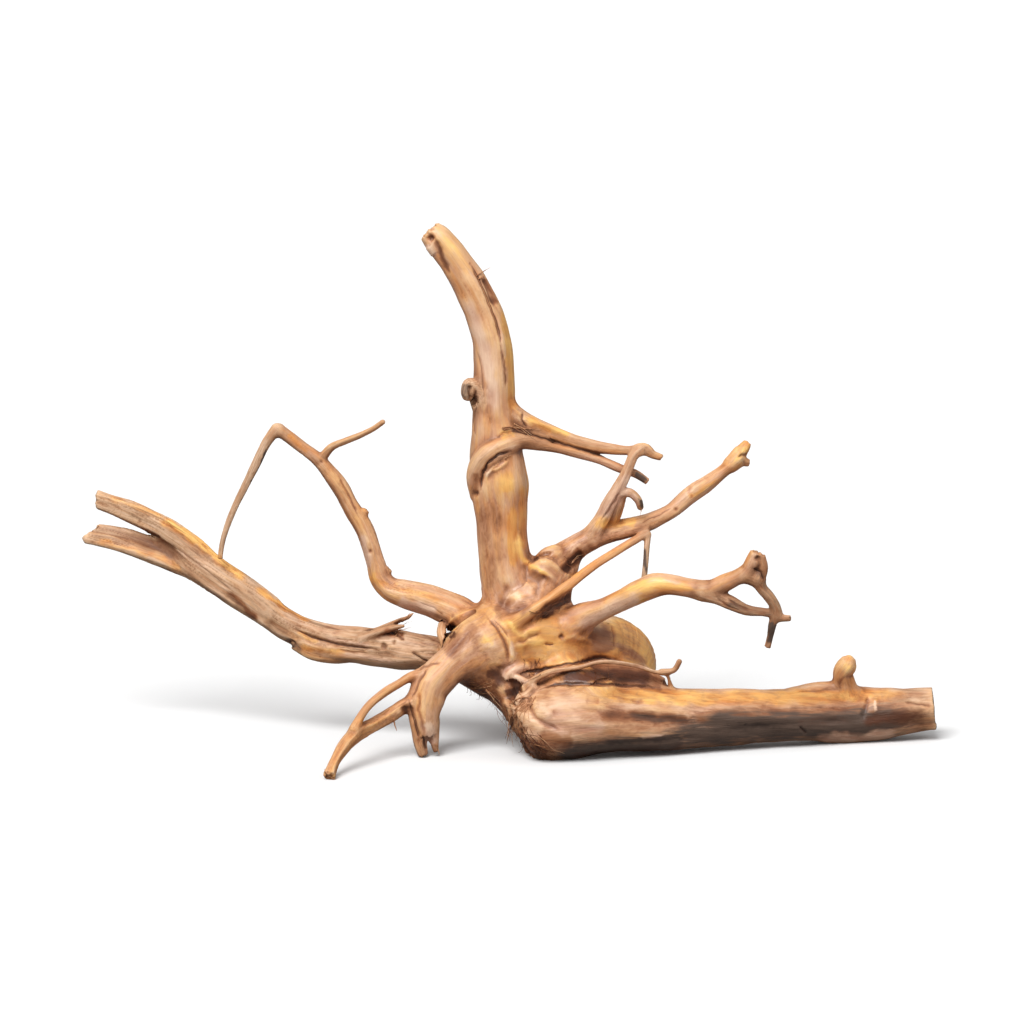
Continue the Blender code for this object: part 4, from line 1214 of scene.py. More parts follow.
FIBRE_TUFTS = [
    (12, 0.5, 5, 6, 0.6, 2.5, [(529, 702), (518, 709), (512, 722), (513, 738)]),
    (8, 0.5, 5, 7, 0.6, 2.5, [(531, 700), (524, 712), (519, 724), (521, 738)]),
    (8, 0.4, 7, 8, 0.8, 2.5, [(514, 706), (522, 702), (530, 706)]),
    (6, 0.34, 8, 9, 0.8, 3.0, [(538, 742), (546, 748), (554, 754)]),
    (3, 0.6, 1.5, 3, 0.6, 1.5, [(520, 692), (524, 696), (522, 704)]),
    (4, 0.5, 2, 4, 0.8, 1.5, [(488, 690), (494, 698), (500, 708)]),
    (3, 0.45, 2, 3, 0.8, 1.5, [(470, 686), (480, 686), (492, 682)]),
    (5, 0.55, 1.5, 4, 1.5, 1.5, [(503, 429), (514, 427), (526, 430), (537, 431)]),
    (3, 0.5, 1.5, 3, 1.5, 1.0, [(514, 424), (524, 431), (535, 439)]),
    (2, 0.7, 0.6, 1, 1.0, 0.6, [(476, 277), (482, 273), (490, 269)]),
    (2, 0.7, 0.6, 1, 1.0, 0.6, [(478, 279), (484, 278), (487, 274)]),
    (2, 0.5, 0.8, 1, 0.5, 0.6, [(402, 620), (409, 616), (414, 611)]),
    (1, 1.3, 0, 0, 0.0, 0.3, [(394, 718), (395, 725), (397, 732)]),
    (2, 0.5, 0.6, 1, 0.2, 0.6, [(639, 505), (641, 510), (640, 516)]),
    (2, 0.5, 1, 2, 0.5, 0.8, [(436, 744), (438, 750), (440, 756)]),
    (2, 0.4, 1, 2, 0.5, 0.8, [(514, 738), (516, 748), (514, 757)]),
    (6, 0.4, 3, 3, 0.5, 1.0, [(420, 738), (422, 748), (424, 758)]),
    (5, 0.36, 4, 5, 0.6, 1.5, [(396, 634), (402, 628), (410, 624)]),
    (3, 0.5, 1, 2, 0.8, 0.8, [(572, 563), (576, 557), (583, 552)]),
    (4, 0.4, 3, 3, 0.5, 1.0, [(324, 768), (328, 774), (334, 778)]),
]
# Hanging tufts grow down from the underside: count, thickness, length, curl, middle and spread.
# A tuft starts only where the wood hangs at least LEAST_DROP above the ground.
HANGING_TUFTS = [
    (22, 0.28, 10, 2.5, (-22, 12), (24, 14)), (14, 0.28, 12, 3.0, (2, -22), (12, 14)),
    (20, 0.28, 12, 3.0, (34, 30), (20, 12)), (12, 0.28, 12, 3.0, (70, 70), (16, 14)),
]
LEAST_DROP = 8.0
# Rays that look for the wood start this far before the crown. A strand leaves the wood where
# the depth behind it jumps by more than STRAND_JUMP.
BEFORE_THE_WOOD = -300.0
STRAND_JUMP = 9.0
LOWEST_STRAND = 0.6
STRAND_STEPS = 9


def strand_line(line, spread_root, spread_tip, curl, draw):
    """One strand's points along a tuft's middle line, with its own offsets and curl."""
    line = np.asarray(line, float)
    if line.shape[1] == 2:
        line = np.column_stack([line, np.zeros(len(line))])
    stations = np.column_stack([line, np.zeros(len(line))])
    path = smooth_path(stations, np.ptp(line, axis=0).max() / STRAND_STEPS)[:, :3]
    t = np.linspace(0.0, 1.0, len(path))[:, None]
    path = path[0] + (path - path[0]) * draw.uniform(0.6, 1.15)
    shift = draw.uniform(-1, 1, 3) * spread_root * (1 - t) + draw.uniform(-1, 1, 3) * spread_tip * t
    waves = np.sin(t * draw.uniform(3, 9, 3) + draw.uniform(0, 6.3, 3)) * draw.uniform(0.2, 1.0, 3)
    return path + shift + curl * waves * t


def skin_tree():
    """The finished skin, ready for rays."""
    return BVHTree.FromObject(bpy.data.objects[SKIN_NAME], bpy.context.evaluated_depsgraph_get())


def cling(tree, flat, rise):
    """A flat strand laid on the wood behind it, or on past the wood's edge, lifted by rise."""
    points, back = [], None
    for right, down, _ in flat:
        start = stand_up(right - CROWN_FOOT[0], CROWN_FOOT[1] - down, BEFORE_THE_WOOD)
        hit, normal, _, gone = tree.ray_cast(Vector(start * MM), Vector(-TOWARD_VIEWER))
        depth = None if hit is None else gone / MM
        if depth is not None and (back is None or abs(depth - back) < STRAND_JUMP):
            back = depth
            points.append(np.array(hit) / MM + np.array(normal) * rise)
        elif back is not None:
            points.append(start - TOWARD_VIEWER * back + TOWARD_VIEWER * rise)
    return points


def front_strands(tufts, seed):
    """Strands that lie on the wood as the viewer sees it, or hang on over its edge."""
    tree = skin_tree()
    draw = np.random.RandomState(seed)
    strands = []
    for count, thickness, spread_root, spread_tip, lift, curl, line in tufts:
        for _ in range(count):
            flat = strand_line(line, spread_root, spread_tip, curl, draw)
            points = cling(tree, flat, lift * draw.uniform(0.3, 1.6))
            if len(points) > 3:
                strands.append(smooth_strand(points, thickness * draw.uniform(0.6, 1.3)))
    return strands


def hanging_strands(tufts, seed):
    """Hair roots that hang from the underside of the crown."""
    tree = skin_tree()
    draw = np.random.RandomState(seed)
    strands = []
    for count, thickness, length, curl, middle, spread in tufts:
        for _ in range(count):
            x, y = np.array(middle) + draw.uniform(-1, 1, 2) * spread
            hit = tree.ray_cast(Vector((x * MM, y * MM, 0.0005)), Vector((0.0, 0.0, 1.0)))[0]
            reach = length * draw.uniform(0.5, 1.2)
            sway = draw.uniform(-0.5, 0.5, 2) * reach
            if hit is None or hit[2] / MM < LEAST_DROP:
                continue
            top = np.array(hit) / MM + (0.0, 0.0, 1.0)
            line = [top, top + (sway[0] * 0.3, sway[1] * 0.3, -reach * 0.5), top + (sway[0], sway[1], -reach)]
            path = strand_line(line, 0.0, 0.0, curl, draw)
            strands.append(smooth_strand(path, thickness * draw.uniform(0.6, 1.3)))
    return strands


def smooth_strand(points, thickness):
    """A strand with its kinks eased and kept off the ground, and its radius towards the tip."""
    points = np.asarray(points)
    for _ in range(2):
        points[1:-1] = points[1:-1] * 0.5 + (points[:-2] + points[2:]) * 0.25
    points[:, 2] = np.maximum(points[:, 2], LOWEST_STRAND)
    return points, thickness * (1.0 - 0.7 * np.linspace(0.0, 1.0, len(points)))


def strand_mesh(name, strands, sides):
    """All strands of one kind as thin closed tubes, with their own grain and shade."""
    tubes, grain, shades, tips = [], [], [], []
    for number, (points, radius) in enumerate(strands):
        tangent = unit(np.gradient(points, axis=0))
        side = unit(np.cross(tangent, (0.31, 0.22, 0.93)))
        tubes.append(tube_rings(points, radius, side, np.cross(tangent, side), sides))
        along = np.repeat(run_lengths(points), sides)
        turns = np.tile(turns_of(sides), len(points))
        width = np.repeat(radius, sides)
        grain.append(np.stack([np.cos(turns) * width + number * 9.7, np.sin(turns) * width, along], 1))
        shade = noise(np.array([[number * 1.37, 0.5, 0.5]]))[0] * 0.5 + 0.5
        shades.append(np.full(len(along), shade))
        tips.append(np.repeat(np.linspace(0.0, 1.0, len(points)), sides))
    piece = link_mesh(name, *join_tubes(tubes))
    write_attribute(piece.data, "strand", np.concatenate(shades))
    write_attribute(piece.data, "tip", np.concatenate(tips))
    write_attribute(piece.data, "grain", np.concatenate(grain))
    piece.data.shade_smooth()
    return piece


# Nodes


def srgb(*picked):
    """A colour picker's 0 to 255 values as scene colours."""
    shares = [value / 255 for value in picked]
    return tuple(share / 12.92 if share <= 0.04 else ((share + 0.055) / 1.055)**2.4 for share in shares)


def place_node(tree, kind, inputs=None, **settings):
    """A node with its settings made and its inputs linked or filled in."""
    node = tree.nodes.new(kind)
    for name, value in settings.items():
        setattr(node, name, value)
    for name, value in (inputs or {}).items():
        if isinstance(value, bpy.types.NodeSocket):
            tree.links.new(value, node.inputs[name])
        else:
            node.inputs[name].default_value = value
    return node


def reckon(tree, operation, first, second=0.0, third=0.0, clamp=False):
    """The result of one math node."""
    values = {0: first, 1: second, 2: third}
    return place_node(tree, "ShaderNodeMath", values, operation=operation, use_clamp=clamp).outputs[0]


def times(tree, first, second):
    return reckon(tree, "MULTIPLY", first, second)


def reckon_vector(tree, operation, first, second=(0.0, 0.0, 0.0), output="Vector"):
    """The result of one vector math node."""
    values = {0: first, 1: second}
    return place_node(tree, "ShaderNodeVectorMath", values, operation=operation).outputs[output]


def noise_of(tree, vector, scale, detail, **inputs):
    """A plain noise pattern."""
    given = {"Vector": vector, "Scale": scale, "Detail": detail, **inputs}
    return place_node(tree, "ShaderNodeTexNoise", given).outputs["Fac"]


def group_of(tree, group, inputs):
    """A group node's outputs, with its inputs filled in."""
    return place_node(tree, "ShaderNodeGroup", inputs, node_tree=group).outputs


def blend_colour(tree, factor, below, above, blend_type="MIX"):
    """One colour laid over another, as far as the factor says."""
    node = place_node(tree, "ShaderNodeMix", data_type="RGBA", blend_type=blend_type, clamp_factor=True)
    for socket, value in ((node.inputs[0], factor), (node.inputs[6], below), (node.inputs[7], above)):
        if isinstance(value, bpy.types.NodeSocket):
            tree.links.new(value, socket)
        else:
            socket.default_value = (*value, 1.0) if isinstance(value, tuple) and len(value) == 3 else value
    return node.outputs[2]


def remap(tree, value, low, high, to_low=0.0, to_high=1.0, smooth=True):
    """A value moved from one range to another and kept inside it."""
    node = place_node(tree, "ShaderNodeMapRange", {
        "Value": value, "From Min": low, "From Max": high, "To Min": to_low, "To Max": to_high},
        interpolation_type="SMOOTHSTEP" if smooth else "LINEAR")
    return node.outputs["Result"]


def value_of(tree, name):
    """A number that the mesh holds at each point."""
    return place_node(tree, "ShaderNodeAttribute", attribute_name=name).outputs["Fac"]


def vector_of(tree, name):
    """A vector that the mesh holds at each point."""
    return place_node(tree, "ShaderNodeAttribute", attribute_name=name).outputs["Vector"]


def shared_group(name, inputs, outputs):
    """Turns a function that wires a node group into one that makes it once and hands it out."""
    def wrap(wire):
        def handed_out():
            if name in bpy.data.node_groups:
                return bpy.data.node_groups[name]
            group = bpy.data.node_groups.new(name, "ShaderNodeTree")
            for label, kind, default in inputs:
                socket = group.interface.new_socket(
                    name=label, in_out="INPUT", socket_type="NodeSocket" + kind)
                if default is not None:
                    socket.default_value = default
            for label, kind in outputs:
                group.interface.new_socket(name=label, in_out="OUTPUT", socket_type="NodeSocket" + kind)
            given, result = group.nodes.new("NodeGroupInput"), group.nodes.new("NodeGroupOutput")
            for label, value in wire(group, given.outputs).items():
                group.links.new(value, result.inputs[label])
            return group
        handed_out.__doc__ = wire.__doc__
        return handed_out
    return wrap


@shared_group(
    "Long grain",
    [("Grain", "Vector", None), ("Width", "Float", 2.0), ("Stretch", "Float", 12.0),
     ("Detail", "Float", 3.0), ("Waver", "Float", 0.3), ("Seed", "Float", 0.0)],
    [("Streaks", "Float")])
def long_grain_group(group, given):
    """Streaks that run with the grain. Width is across the grain, in the grain's own units."""
    lengthwise = times(group, given["Width"], given["Stretch"])
    size = place_node(group, "ShaderNodeCombineXYZ", {
        "X": given["Width"], "Y": given["Width"], "Z": lengthwise})
    scaled = reckon_vector(group, "DIVIDE", given["Grain"], size.outputs[0])
    moved = reckon_vector(group, "ADD", scaled, given["Seed"])
    streaks = noise_of(group, moved, 1.0, given["Detail"], Roughness=0.58, Distortion=given["Waver"])
    return {"Streaks": remap(group, streaks, 0.28, 0.72)}


@shared_group(
    "Wood tone",
    [("Tone", "Float", 0.5), ("Dark", "Color", None), ("Middle", "Color", None), ("Light", "Color", None)],
    [("Colour", "Color")])
def wood_tone_group(group, given):
    """One wood colour from dark through middle to light."""
    low = remap(group, given["Tone"], 0.0, 0.5, smooth=False)
    high = remap(group, given["Tone"], 0.5, 1.0, smooth=False)
    lower = blend_colour(group, low, given["Dark"], given["Middle"])
    return {"Colour": blend_colour(group, high, lower, given["Light"])}


@shared_group(
    "Grain flecks",
    [("Grain", "Vector", None), ("Width", "Float", 1.2), ("Stretch", "Float", 8.0), ("Amount", "Float", 0.4)],
    [("Flecks", "Float")])
def flecks_group(group, given):
    """Short dark flecks and pores that lie along the grain."""
    streaks = group_of(group, long_grain_group(), {
        "Grain": given["Grain"], "Width": given["Width"], "Stretch": given["Stretch"],
        "Detail": 1.0, "Seed": 7.3})["Streaks"]
    above = reckon(group, "SUBTRACT", streaks, reckon(group, "SUBTRACT", 1.0, given["Amount"]))
    return {"Flecks": remap(group, above, 0.0, 0.25)}


@shared_group(
    "Crevice shade and cracks",
    [("Hollow", "Float", 0.0), ("Crack", "Float", 0.0), ("Line", "Float", 0.0), ("Shade", "Float", 0.0),
     ("Breakup", "Float", 0.5)],
    [("Grime", "Float"), ("Depth", "Float")])
def shade_and_cracks_group(group, given):
    """Dark dirt and shadowed wood in hollows, cracks and closed-in places."""
    # Hollows and closed-in places get painted shade; cracks and lines are dark lines in the wood.
    hollow = times(group, given["Hollow"], 0.22)
    shade = remap(group, given["Shade"], 0.4, 1.0, 0.0, 0.75)
    ragged = reckon(group, "MULTIPLY_ADD", given["Breakup"], 0.6, 0.6)
    broken = times(group, reckon(group, "ADD", hollow, shade), ragged)
    crack = reckon(group, "MAXIMUM", remap(group, given["Crack"], 0.2, 0.8), given["Line"])
    return {"Grime": reckon(group, "MAXIMUM", broken, crack, clamp=True), "Depth": crack}


def fresh_material(name):
    """A new material with its node tree and its shader."""
    material = bpy.data.materials.new(name)
    material.use_nodes = True
    tree = material.node_tree
    shader = tree.nodes["Principled BSDF"]
    shader.inputs["IOR"].default_value = 1.45
    return material, tree, shader


def streaks_of(tree, grain, width, stretch, detail, waver, seed):
    """Streaks along the grain from the shared group."""
    return group_of(tree, long_grain_group(), {
        "Grain": grain, "Width": width, "Stretch": stretch, "Detail": detail, "Waver": waver,
        "Seed": seed})["Streaks"]


def flecks_of(tree, grain, width, stretch, amount):
    """Flecks along the grain from the shared group."""
    return group_of(tree, flecks_group(), {
        "Grain": grain, "Width": width, "Stretch": stretch, "Amount": amount})["Flecks"]


def bumped(tree, shader, height, strength, distance):
    """Gives the shader a fine relief."""
    bump = place_node(tree, "ShaderNodeBump", {"Height": height, "Strength": strength, "Distance": distance})
    tree.links.new(bump.outputs["Normal"], shader.inputs["Normal"])


def toned(tree, tone, dark, middle, light):
    """The wood colour at a tone between three colours."""
    return group_of(tree, wood_tone_group(), {
        "Tone": tone, "Dark": (*dark, 1.0), "Middle": (*middle, 1.0), "Light": (*light, 1.0)})["Colour"]


def weigh(tree, start, *parts):
    """start plus each (value, its middle, share) in turn."""
    total = start
    for value, middle, share in parts:
        total = reckon(tree, "MULTIPLY_ADD", reckon(tree, "SUBTRACT", value, middle), share, total)
    return total


# The skin's patterns: width in millimetres, stretch along the grain, detail, waver and seed.
SKIN_PATTERNS = {
    "hair": (0.9, 24.0, 2.0, 0.2, 1.0), "fibre": (2.6, 18.0, 2.0, 0.4, 2.0),
    "band": (7.0, 12.0, 2.0, 0.7, 3.0), "cloud": (24.0, 3.0, 3.0, 0.9, 4.0),
    "mottle": (7.0, 1.8, 3.0, 0.8, 5.0)}
# Finishes from the bottom one up: mask, the pattern that breaks its edge up and by how much, and its dark,
# middle and light colours. Gold and pale are painted highlights (pale partly bleached wood too), dark is
# painted shade, and brown and stain are partly painted shade.
SKIN_LAYERS = (
    ("blush", "cloud", 0.28, "blush_dark", "blush", "pale"),
    ("weathered", "fibre", 0.4, "bark", "weathered", "pale"),
    ("ochre", "band", 0.28, "ochre_dark", "ochre", "gold"),
    ("gold", "band", 0.2, "ochre", "ochre", "gold"),
    ("brown", "mottle", 0.35, "bark_dark", "bark", "tan"),
    ("stain", "fibre", 0.35, "stain_dark", "stain", "stain"),
    ("pale", "cloud", 0.25, "blush", "blush", "pale"),
    # The dark layer is painted shade.
    ("dark", "mottle", 0.2, "crevice", "bark_dark", "bark_dark"),
)
# How much each mask lightens (+) or darkens (-) the wood's tone: crest, gold and pale are painted highlights,
# hollow and the undersides are painted shade.
TONE_SHARES = {"crest": 0.17, "hollow": -0.25, "under": -0.26, "gold": 0.3, "pale": 0.26}
PLAIN_TONE = 0.51


def skin_tone(tree, patterns, flecks, raw, raw_seam):
    """The wood's tone from 0 to 1: streaks on raw wood, wear, and shade from nearby wood."""
    streaky = times(tree, reckon(tree, "SUBTRACT", patterns["fibre"], 0.5), raw_seam)
    banded = times(tree, reckon(tree, "SUBTRACT", patterns["band"], 0.5), reckon(tree, "MAXIMUM", raw, 0.3))
    mottled = times(tree, reckon(tree, "SUBTRACT", patterns["mottle"], 0.5), raw)
    tone = weigh(
        tree, PLAIN_TONE, (streaky, 0.0, 0.26), (banded, 0.0, 0.16), (patterns["cloud"], 0.5, 0.16),
        *((value_of(tree, name), 0.0, share) for name, share in TONE_SHARES.items()),
        (flecks, 0.0, -0.25), (mottled, 0.0, 0.22), (value_of(tree, "shade"), 0.25, -0.5))
    return reckon(tree, "MAXIMUM", reckon(tree, "MINIMUM", tone, 1.0), 0.0)


def skin_material(colours):
    """Washed root wood: streaked with the grain, dark in the cracks, satin where worn."""
    material, tree, shader = fresh_material("bogwood_skin")
    grain = vector_of(tree, "grain")
    patterns = {name: streaks_of(tree, grain, *numbers) for name, numbers in SKIN_PATTERNS.items()}
    hair, fibre, band, cloud = (patterns[name] for name in ("hair", "fibre", "band", "cloud"))
    polished = value_of(tree, "polish")
    raw = reckon(tree, "MULTIPLY_ADD", polished, -0.85, 1.0, clamp=True)
    raw_seam = times(tree, raw, value_of(tree, "seam"))
    flecks = times(tree, flecks_of(tree, grain, 1.2, 8.0, 0.3), times(tree, raw_seam, cloud))
    tone = skin_tone(tree, patterns, flecks, raw, raw_seam)
    colour = toned(tree, tone, colours.tan_dark, colours.tan, colours.tan_light)
    for mask, pattern, breakup, *names in SKIN_LAYERS:
        amount = weigh(tree, value_of(tree, mask), (patterns[pattern], 0.5, breakup))
        finish = toned(tree, tone, *(getattr(colours, name) for name in names))
        colour = blend_colour(tree, remap(tree, amount, 0.15, 0.85), colour, finish)
    shadowed = times(tree, remap(tree, hair, 0.5, 1.0), times(tree, raw, 0.35))
    colour = blend_colour(tree, shadowed, colour, tuple(colours.tan_dark), "MULTIPLY")
    beside = reckon(tree, "ABSOLUTE", value_of(tree, "line_side"))
    thin = times(tree, remap(tree, beside, 0.2, 1.1, 1.0, 0.0), value_of(tree, "line"))
    # Painted shade in hollows and closed-in places, with the dark of cracks and drawn lines.
    shade_and_cracks = group_of(tree, shade_and_cracks_group(), {
        "Hollow": value_of(tree, "hollow"), "Crack": value_of(tree, "crack"), "Line": thin,
        "Shade": value_of(tree, "shade"), "Breakup": band})
    colour = blend_colour(tree, shade_and_cracks["Grime"], colour, tuple(colours.crevice))
    tree.links.new(colour, shader.inputs["Base Color"])

    polish = times(tree, polished, remap(tree, cloud, 0.2, 0.8, 0.6, 1.1))
    tree.links.new(times(tree, polish, 0.45), shader.inputs["Coat Weight"])
    shader.inputs["Coat Roughness"].default_value = 0.32
    rough = reckon(tree, "MULTIPLY_ADD", polish, -0.34, 0.7)
    rough = weigh(tree, rough, (fibre, 0.0, 0.1), (shade_and_cracks["Grime"], 0.0, 0.3))
    tree.links.new(reckon(tree, "MINIMUM", rough, 1.0), shader.inputs["Roughness"])
    shader.inputs["Specular IOR Level"].default_value = 0.45

    height = times(tree, weigh(tree, 0.0, (hair, 0.0, 0.35), (fibre, 0.0, 0.65)), raw_seam)
    height = weigh(tree, height, (flecks, 0.0, -0.6), (shade_and_cracks["Depth"], 0.0, -0.5), (band, 0.0, 0.25))
    bumped(tree, shader, height, 0.7, 0.0007)
    return material


def end_grain_material(colours):
    """The sawn end: growth rings, radial checks and rough saw marks."""
    material, tree, shader = fresh_material("bogwood_sawn_end")
    place = place_node(tree, "ShaderNodeTexCoord").outputs["Object"]
    offset = reckon_vector(tree, "SUBTRACT", place, tuple(PITH * MM))
    flat = reckon_vector(tree, "MULTIPLY", offset, (0.0, 1.0, 1.0))
    axes = place_node(tree, "ShaderNodeSeparateXYZ", {"Vector": flat})
    wobble = noise_of(tree, flat, 90.0, 2.0)
    reach = weigh(tree, reckon_vector(tree, "LENGTH", flat, output="Value"), (wobble, 0.5, 0.004))
    rings = reckon(tree, "MULTIPLY_ADD", reckon(tree, "SINE", times(tree, reach, 3400.0)), 0.5, 0.5)
    turn = reckon(tree, "ARCTAN2", axes.outputs["Y"], axes.outputs["Z"])
    around = place_node(tree, "ShaderNodeCombineXYZ", {"X": turn, "Y": times(tree, reach, 9.0)})
    checks = remap(tree, noise_of(tree, around.outputs[0], 3.2, 3.0), 0.6, 0.68)
    fuzz = noise_of(tree, flat, 900.0, 3.0)
    edge = remap(tree, reach, 0.015, 0.023)
    tone = weigh(tree, 0.36, (rings, 0.5, 0.3), (fuzz, 0.5, 0.5), (checks, 0.0, -0.4), (edge, 0.0, -0.25))
    colour = toned(tree, tone, colours.stain_dark, colours.weathered, colours.pale)
    tree.links.new(blend_colour(tree, checks, colour, tuple(colours.crevice)), shader.inputs["Base Color"])
    tree.links.new(reckon(tree, "MULTIPLY_ADD", fuzz, 0.3, 0.65), shader.inputs["Roughness"])
    height = weigh(tree, 0.0, (rings, 0.0, 0.3), (fuzz, 0.0, 0.8), (checks, 0.0, -1.5))
    bumped(tree, shader, height, 0.8, 0.0006)
    return material


def strand_material(name, dark, middle, light):
    """Thin root hair or torn fibre: streaked along its length, paler and drier at the tip."""
    material, tree, shader = fresh_material(name)
    grain = vector_of(tree, "grain")
    fibre = streaks_of(tree, grain, 0.5, 10.0, 2.0, 0.3, 5.0)
    cloud = streaks_of(tree, grain, 6.0, 2.0, 2.0, 0.5, 6.0)
    flecks = flecks_of(tree, grain, 0.6, 5.0, 0.35)
    tip = value_of(tree, "tip")
    tone = weigh(tree, 0.45, (value_of(tree, "strand"), 0.5, 0.7), (fibre, 0.5, 0.4), (cloud, 0.5, 0.3),
                 (tip, 0.5, 0.25), (flecks, 0.0, -0.3))
    tree.links.new(toned(tree, tone, dark, middle, light), shader.inputs["Base Color"])
    rough = weigh(tree, 0.5, (fibre, 0.5, 0.2), (tip, 0.0, 0.2))
    tree.links.new(reckon(tree, "MINIMUM", rough, 1.0), shader.inputs["Roughness"])
    bumped(tree, shader, weigh(tree, 0.0, (fibre, 0.0, 0.7), (flecks, 0.0, -0.5)), 0.5, 0.0002)
    return material


# Stage


# Each soft far light: the way it shines, and its width in the sky in degrees.
KEY_WAY, KEY_WIDTH = (0.35, 0.75, -1.0), 35.0
FILL_WAY, FILL_WIDTH = (-0.8, 0.6, -0.45), 60.0
LOW_SKY_SHARE = 0.3
SENSOR_WIDTH = 36.0


def look_along(way):
    """The rotation of a lamp or camera that looks this way."""
    return Vector(way).to_track_quat("-Z", "Y").to_euler()


def stage_floor(settings):
    """A wide pale sheet. It lights the wood from below less than it shows to the camera."""
    half = settings.floor_size / 2
    corners = [(-half, -half, 0), (half, -half, 0), (half, half, 0), (-half, half, 0)]
    mesh = bpy.data.meshes.new("floor")
    mesh.from_pydata(corners, [], [(0, 1, 2, 3)])
    floor = bpy.data.objects.new("floor", mesh)
    bpy.context.scene.collection.objects.link(floor)
    material, tree, shader = fresh_material("floor_paper")
    seen = place_node(tree, "ShaderNodeLightPath").outputs["Is Camera Ray"]
    pale = (settings.floor_tone,) * 3
    dim = (settings.floor_tone * settings.floor_bounce,) * 3
    tree.links.new(blend_colour(tree, seen, dim, pale), shader.inputs["Base Color"])
    shader.inputs["Roughness"].default_value = 0.9
    shader.inputs["Specular IOR Level"].default_value = 0.1
    mesh.materials.append(material)


def stage_light(name, way, strength, width):
    """A soft far light that shines one way."""
    lamp = bpy.data.lights.new(name, "SUN")
    lamp.energy = strength
    lamp.angle = math.radians(width)
    thing = bpy.data.objects.new(name, lamp)
    thing.rotation_euler = look_along(way)
    bpy.context.scene.collection.objects.link(thing)


def stage_sky(strength):
    """A white sky that is brightest overhead."""
    world = bpy.data.worlds.new("studio")
    world.use_nodes = True
    tree = world.node_tree
    up = place_node(tree, "ShaderNodeTexCoord").outputs["Generated"]
    height = place_node(tree, "ShaderNodeSeparateXYZ", {"Vector": up}).outputs["Z"]
    amount = remap(tree, height, -0.1, 0.9, strength * LOW_SKY_SHARE, strength)
    seen = place_node(tree, "ShaderNodeLightPath").outputs["Is Camera Ray"]
    tree.links.new(reckon(tree, "MAXIMUM", amount, seen), tree.nodes["Background"].inputs["Strength"])
    tree.nodes["Background"].inputs["Color"].default_value = (1.0, 1.0, 1.0, 1.0)
    bpy.context.scene.world = world


def stage_camera(settings):
    """A distant camera square to the leaning board, with the picture's middle on it."""
    camera_data = bpy.data.cameras.new("camera")
    camera_data.sensor_width = SENSOR_WIDTH
    camera_data.lens = SENSOR_WIDTH * settings.distance / settings.view_width
    camera_data.clip_end = 200.0
    camera = bpy.data.objects.new("camera", camera_data)
    target = Vector((0.0, CROWN_BACK * MM, settings.view_height / math.cos(BOARD_LEAN)))
    camera.location = target + Vector(TOWARD_VIEWER) * settings.distance
    camera.rotation_euler = look_along(target - camera.location)
    bpy.context.scene.collection.objects.link(camera)
    bpy.context.scene.camera = camera


# Settings


def length_setting(label, description, default, low=0.0):
    return bpy.props.FloatProperty(
        name=label, description=description, default=default, min=low, subtype="DISTANCE", unit="LENGTH")


def number_setting(label, description, default):
    return bpy.props.FloatProperty(name=label, description=description, default=default, min=0.0)


def colour_setting(label, description, default):
    return bpy.props.FloatVectorProperty(
        name=label, description=description, default=default, size=3, min=0.0, max=1.0, subtype="COLOR")


class BogwoodShape(bpy.types.PropertyGroup):
    """How finely the skin is made."""
    voxel: length_setting("Skin grain size", "Size of the remesh that joins the limbs", 0.0015, 0.0005)
    quick_voxel: length_setting("Quick grain size", "The same while trying things", 0.0024, 0.0005)
    triangles: bpy.props.IntProperty(
        name="Skin triangles", description="Most triangles in the finished skin", default=196000, min=1000)


class BogwoodColours(bpy.types.PropertyGroup):
    """The wood's colours."""
    tan: colour_setting("Tan", "Plain washed wood", srgb(202, 146, 104))
    tan_light: colour_setting("Pale tan", "Its lightest streaks", srgb(240, 200, 156))
    tan_dark: colour_setting("Deep tan", "Its darkest streaks", srgb(132, 82, 50))
    ochre: colour_setting("Ochre", "Orange-yellow heartwood", srgb(220, 142, 72))
    ochre_dark: colour_setting("Deep ochre", "Its darkest streaks", srgb(140, 74, 34))
    # Gold: the colour of the painted highlights laid by the gold strokes, and of the lightest ochre streaks.
    gold: colour_setting("Gold", "Golden wood and painted highlights", srgb(252, 200, 116))
    blush: colour_setting("Blush", "Pinkish smooth wood", srgb(206, 152, 124))
    blush_dark: colour_setting("Deep blush", "Its darkest streaks", srgb(128, 80, 58))
    # Pale: bleached smooth wood, and through the pale strokes also the colour of the painted sheen and
    # highlights.
    pale: colour_setting("Pale", "Bleached smooth wood", srgb(240, 203, 172))
    weathered: colour_setting("Weathered", "Dry greyish wood", srgb(184, 146, 112))
    # Bark and deep bark: bark and stained wood, and through the brown and dark strokes also the colours of
    # painted shade.
    bark: colour_setting("Bark", "Bark and stained wood", srgb(146, 88, 52))
    bark_dark: colour_setting("Deep bark", "Its darkest streaks", srgb(92, 48, 24))
    # Damp stain: the colour of the stain strokes that darken the log towards its bottom, partly staining and
    # partly painted shade.
    stain: colour_setting("Damp stain", "Wood darkened by wet ground", srgb(92, 72, 60))
    stain_dark: colour_setting("Deep damp stain", "Its darkest streaks", srgb(58, 45, 38))
    hair: colour_setting("Hair roots", "Reddish brown root hair", srgb(142, 82, 50))
    # Crevices: the dark of cracks, and the colour of the painted shade in hollows and closed-in places.
    crevice: colour_setting("Crevices", "Cracks and deep hollows", srgb(62, 34, 20))


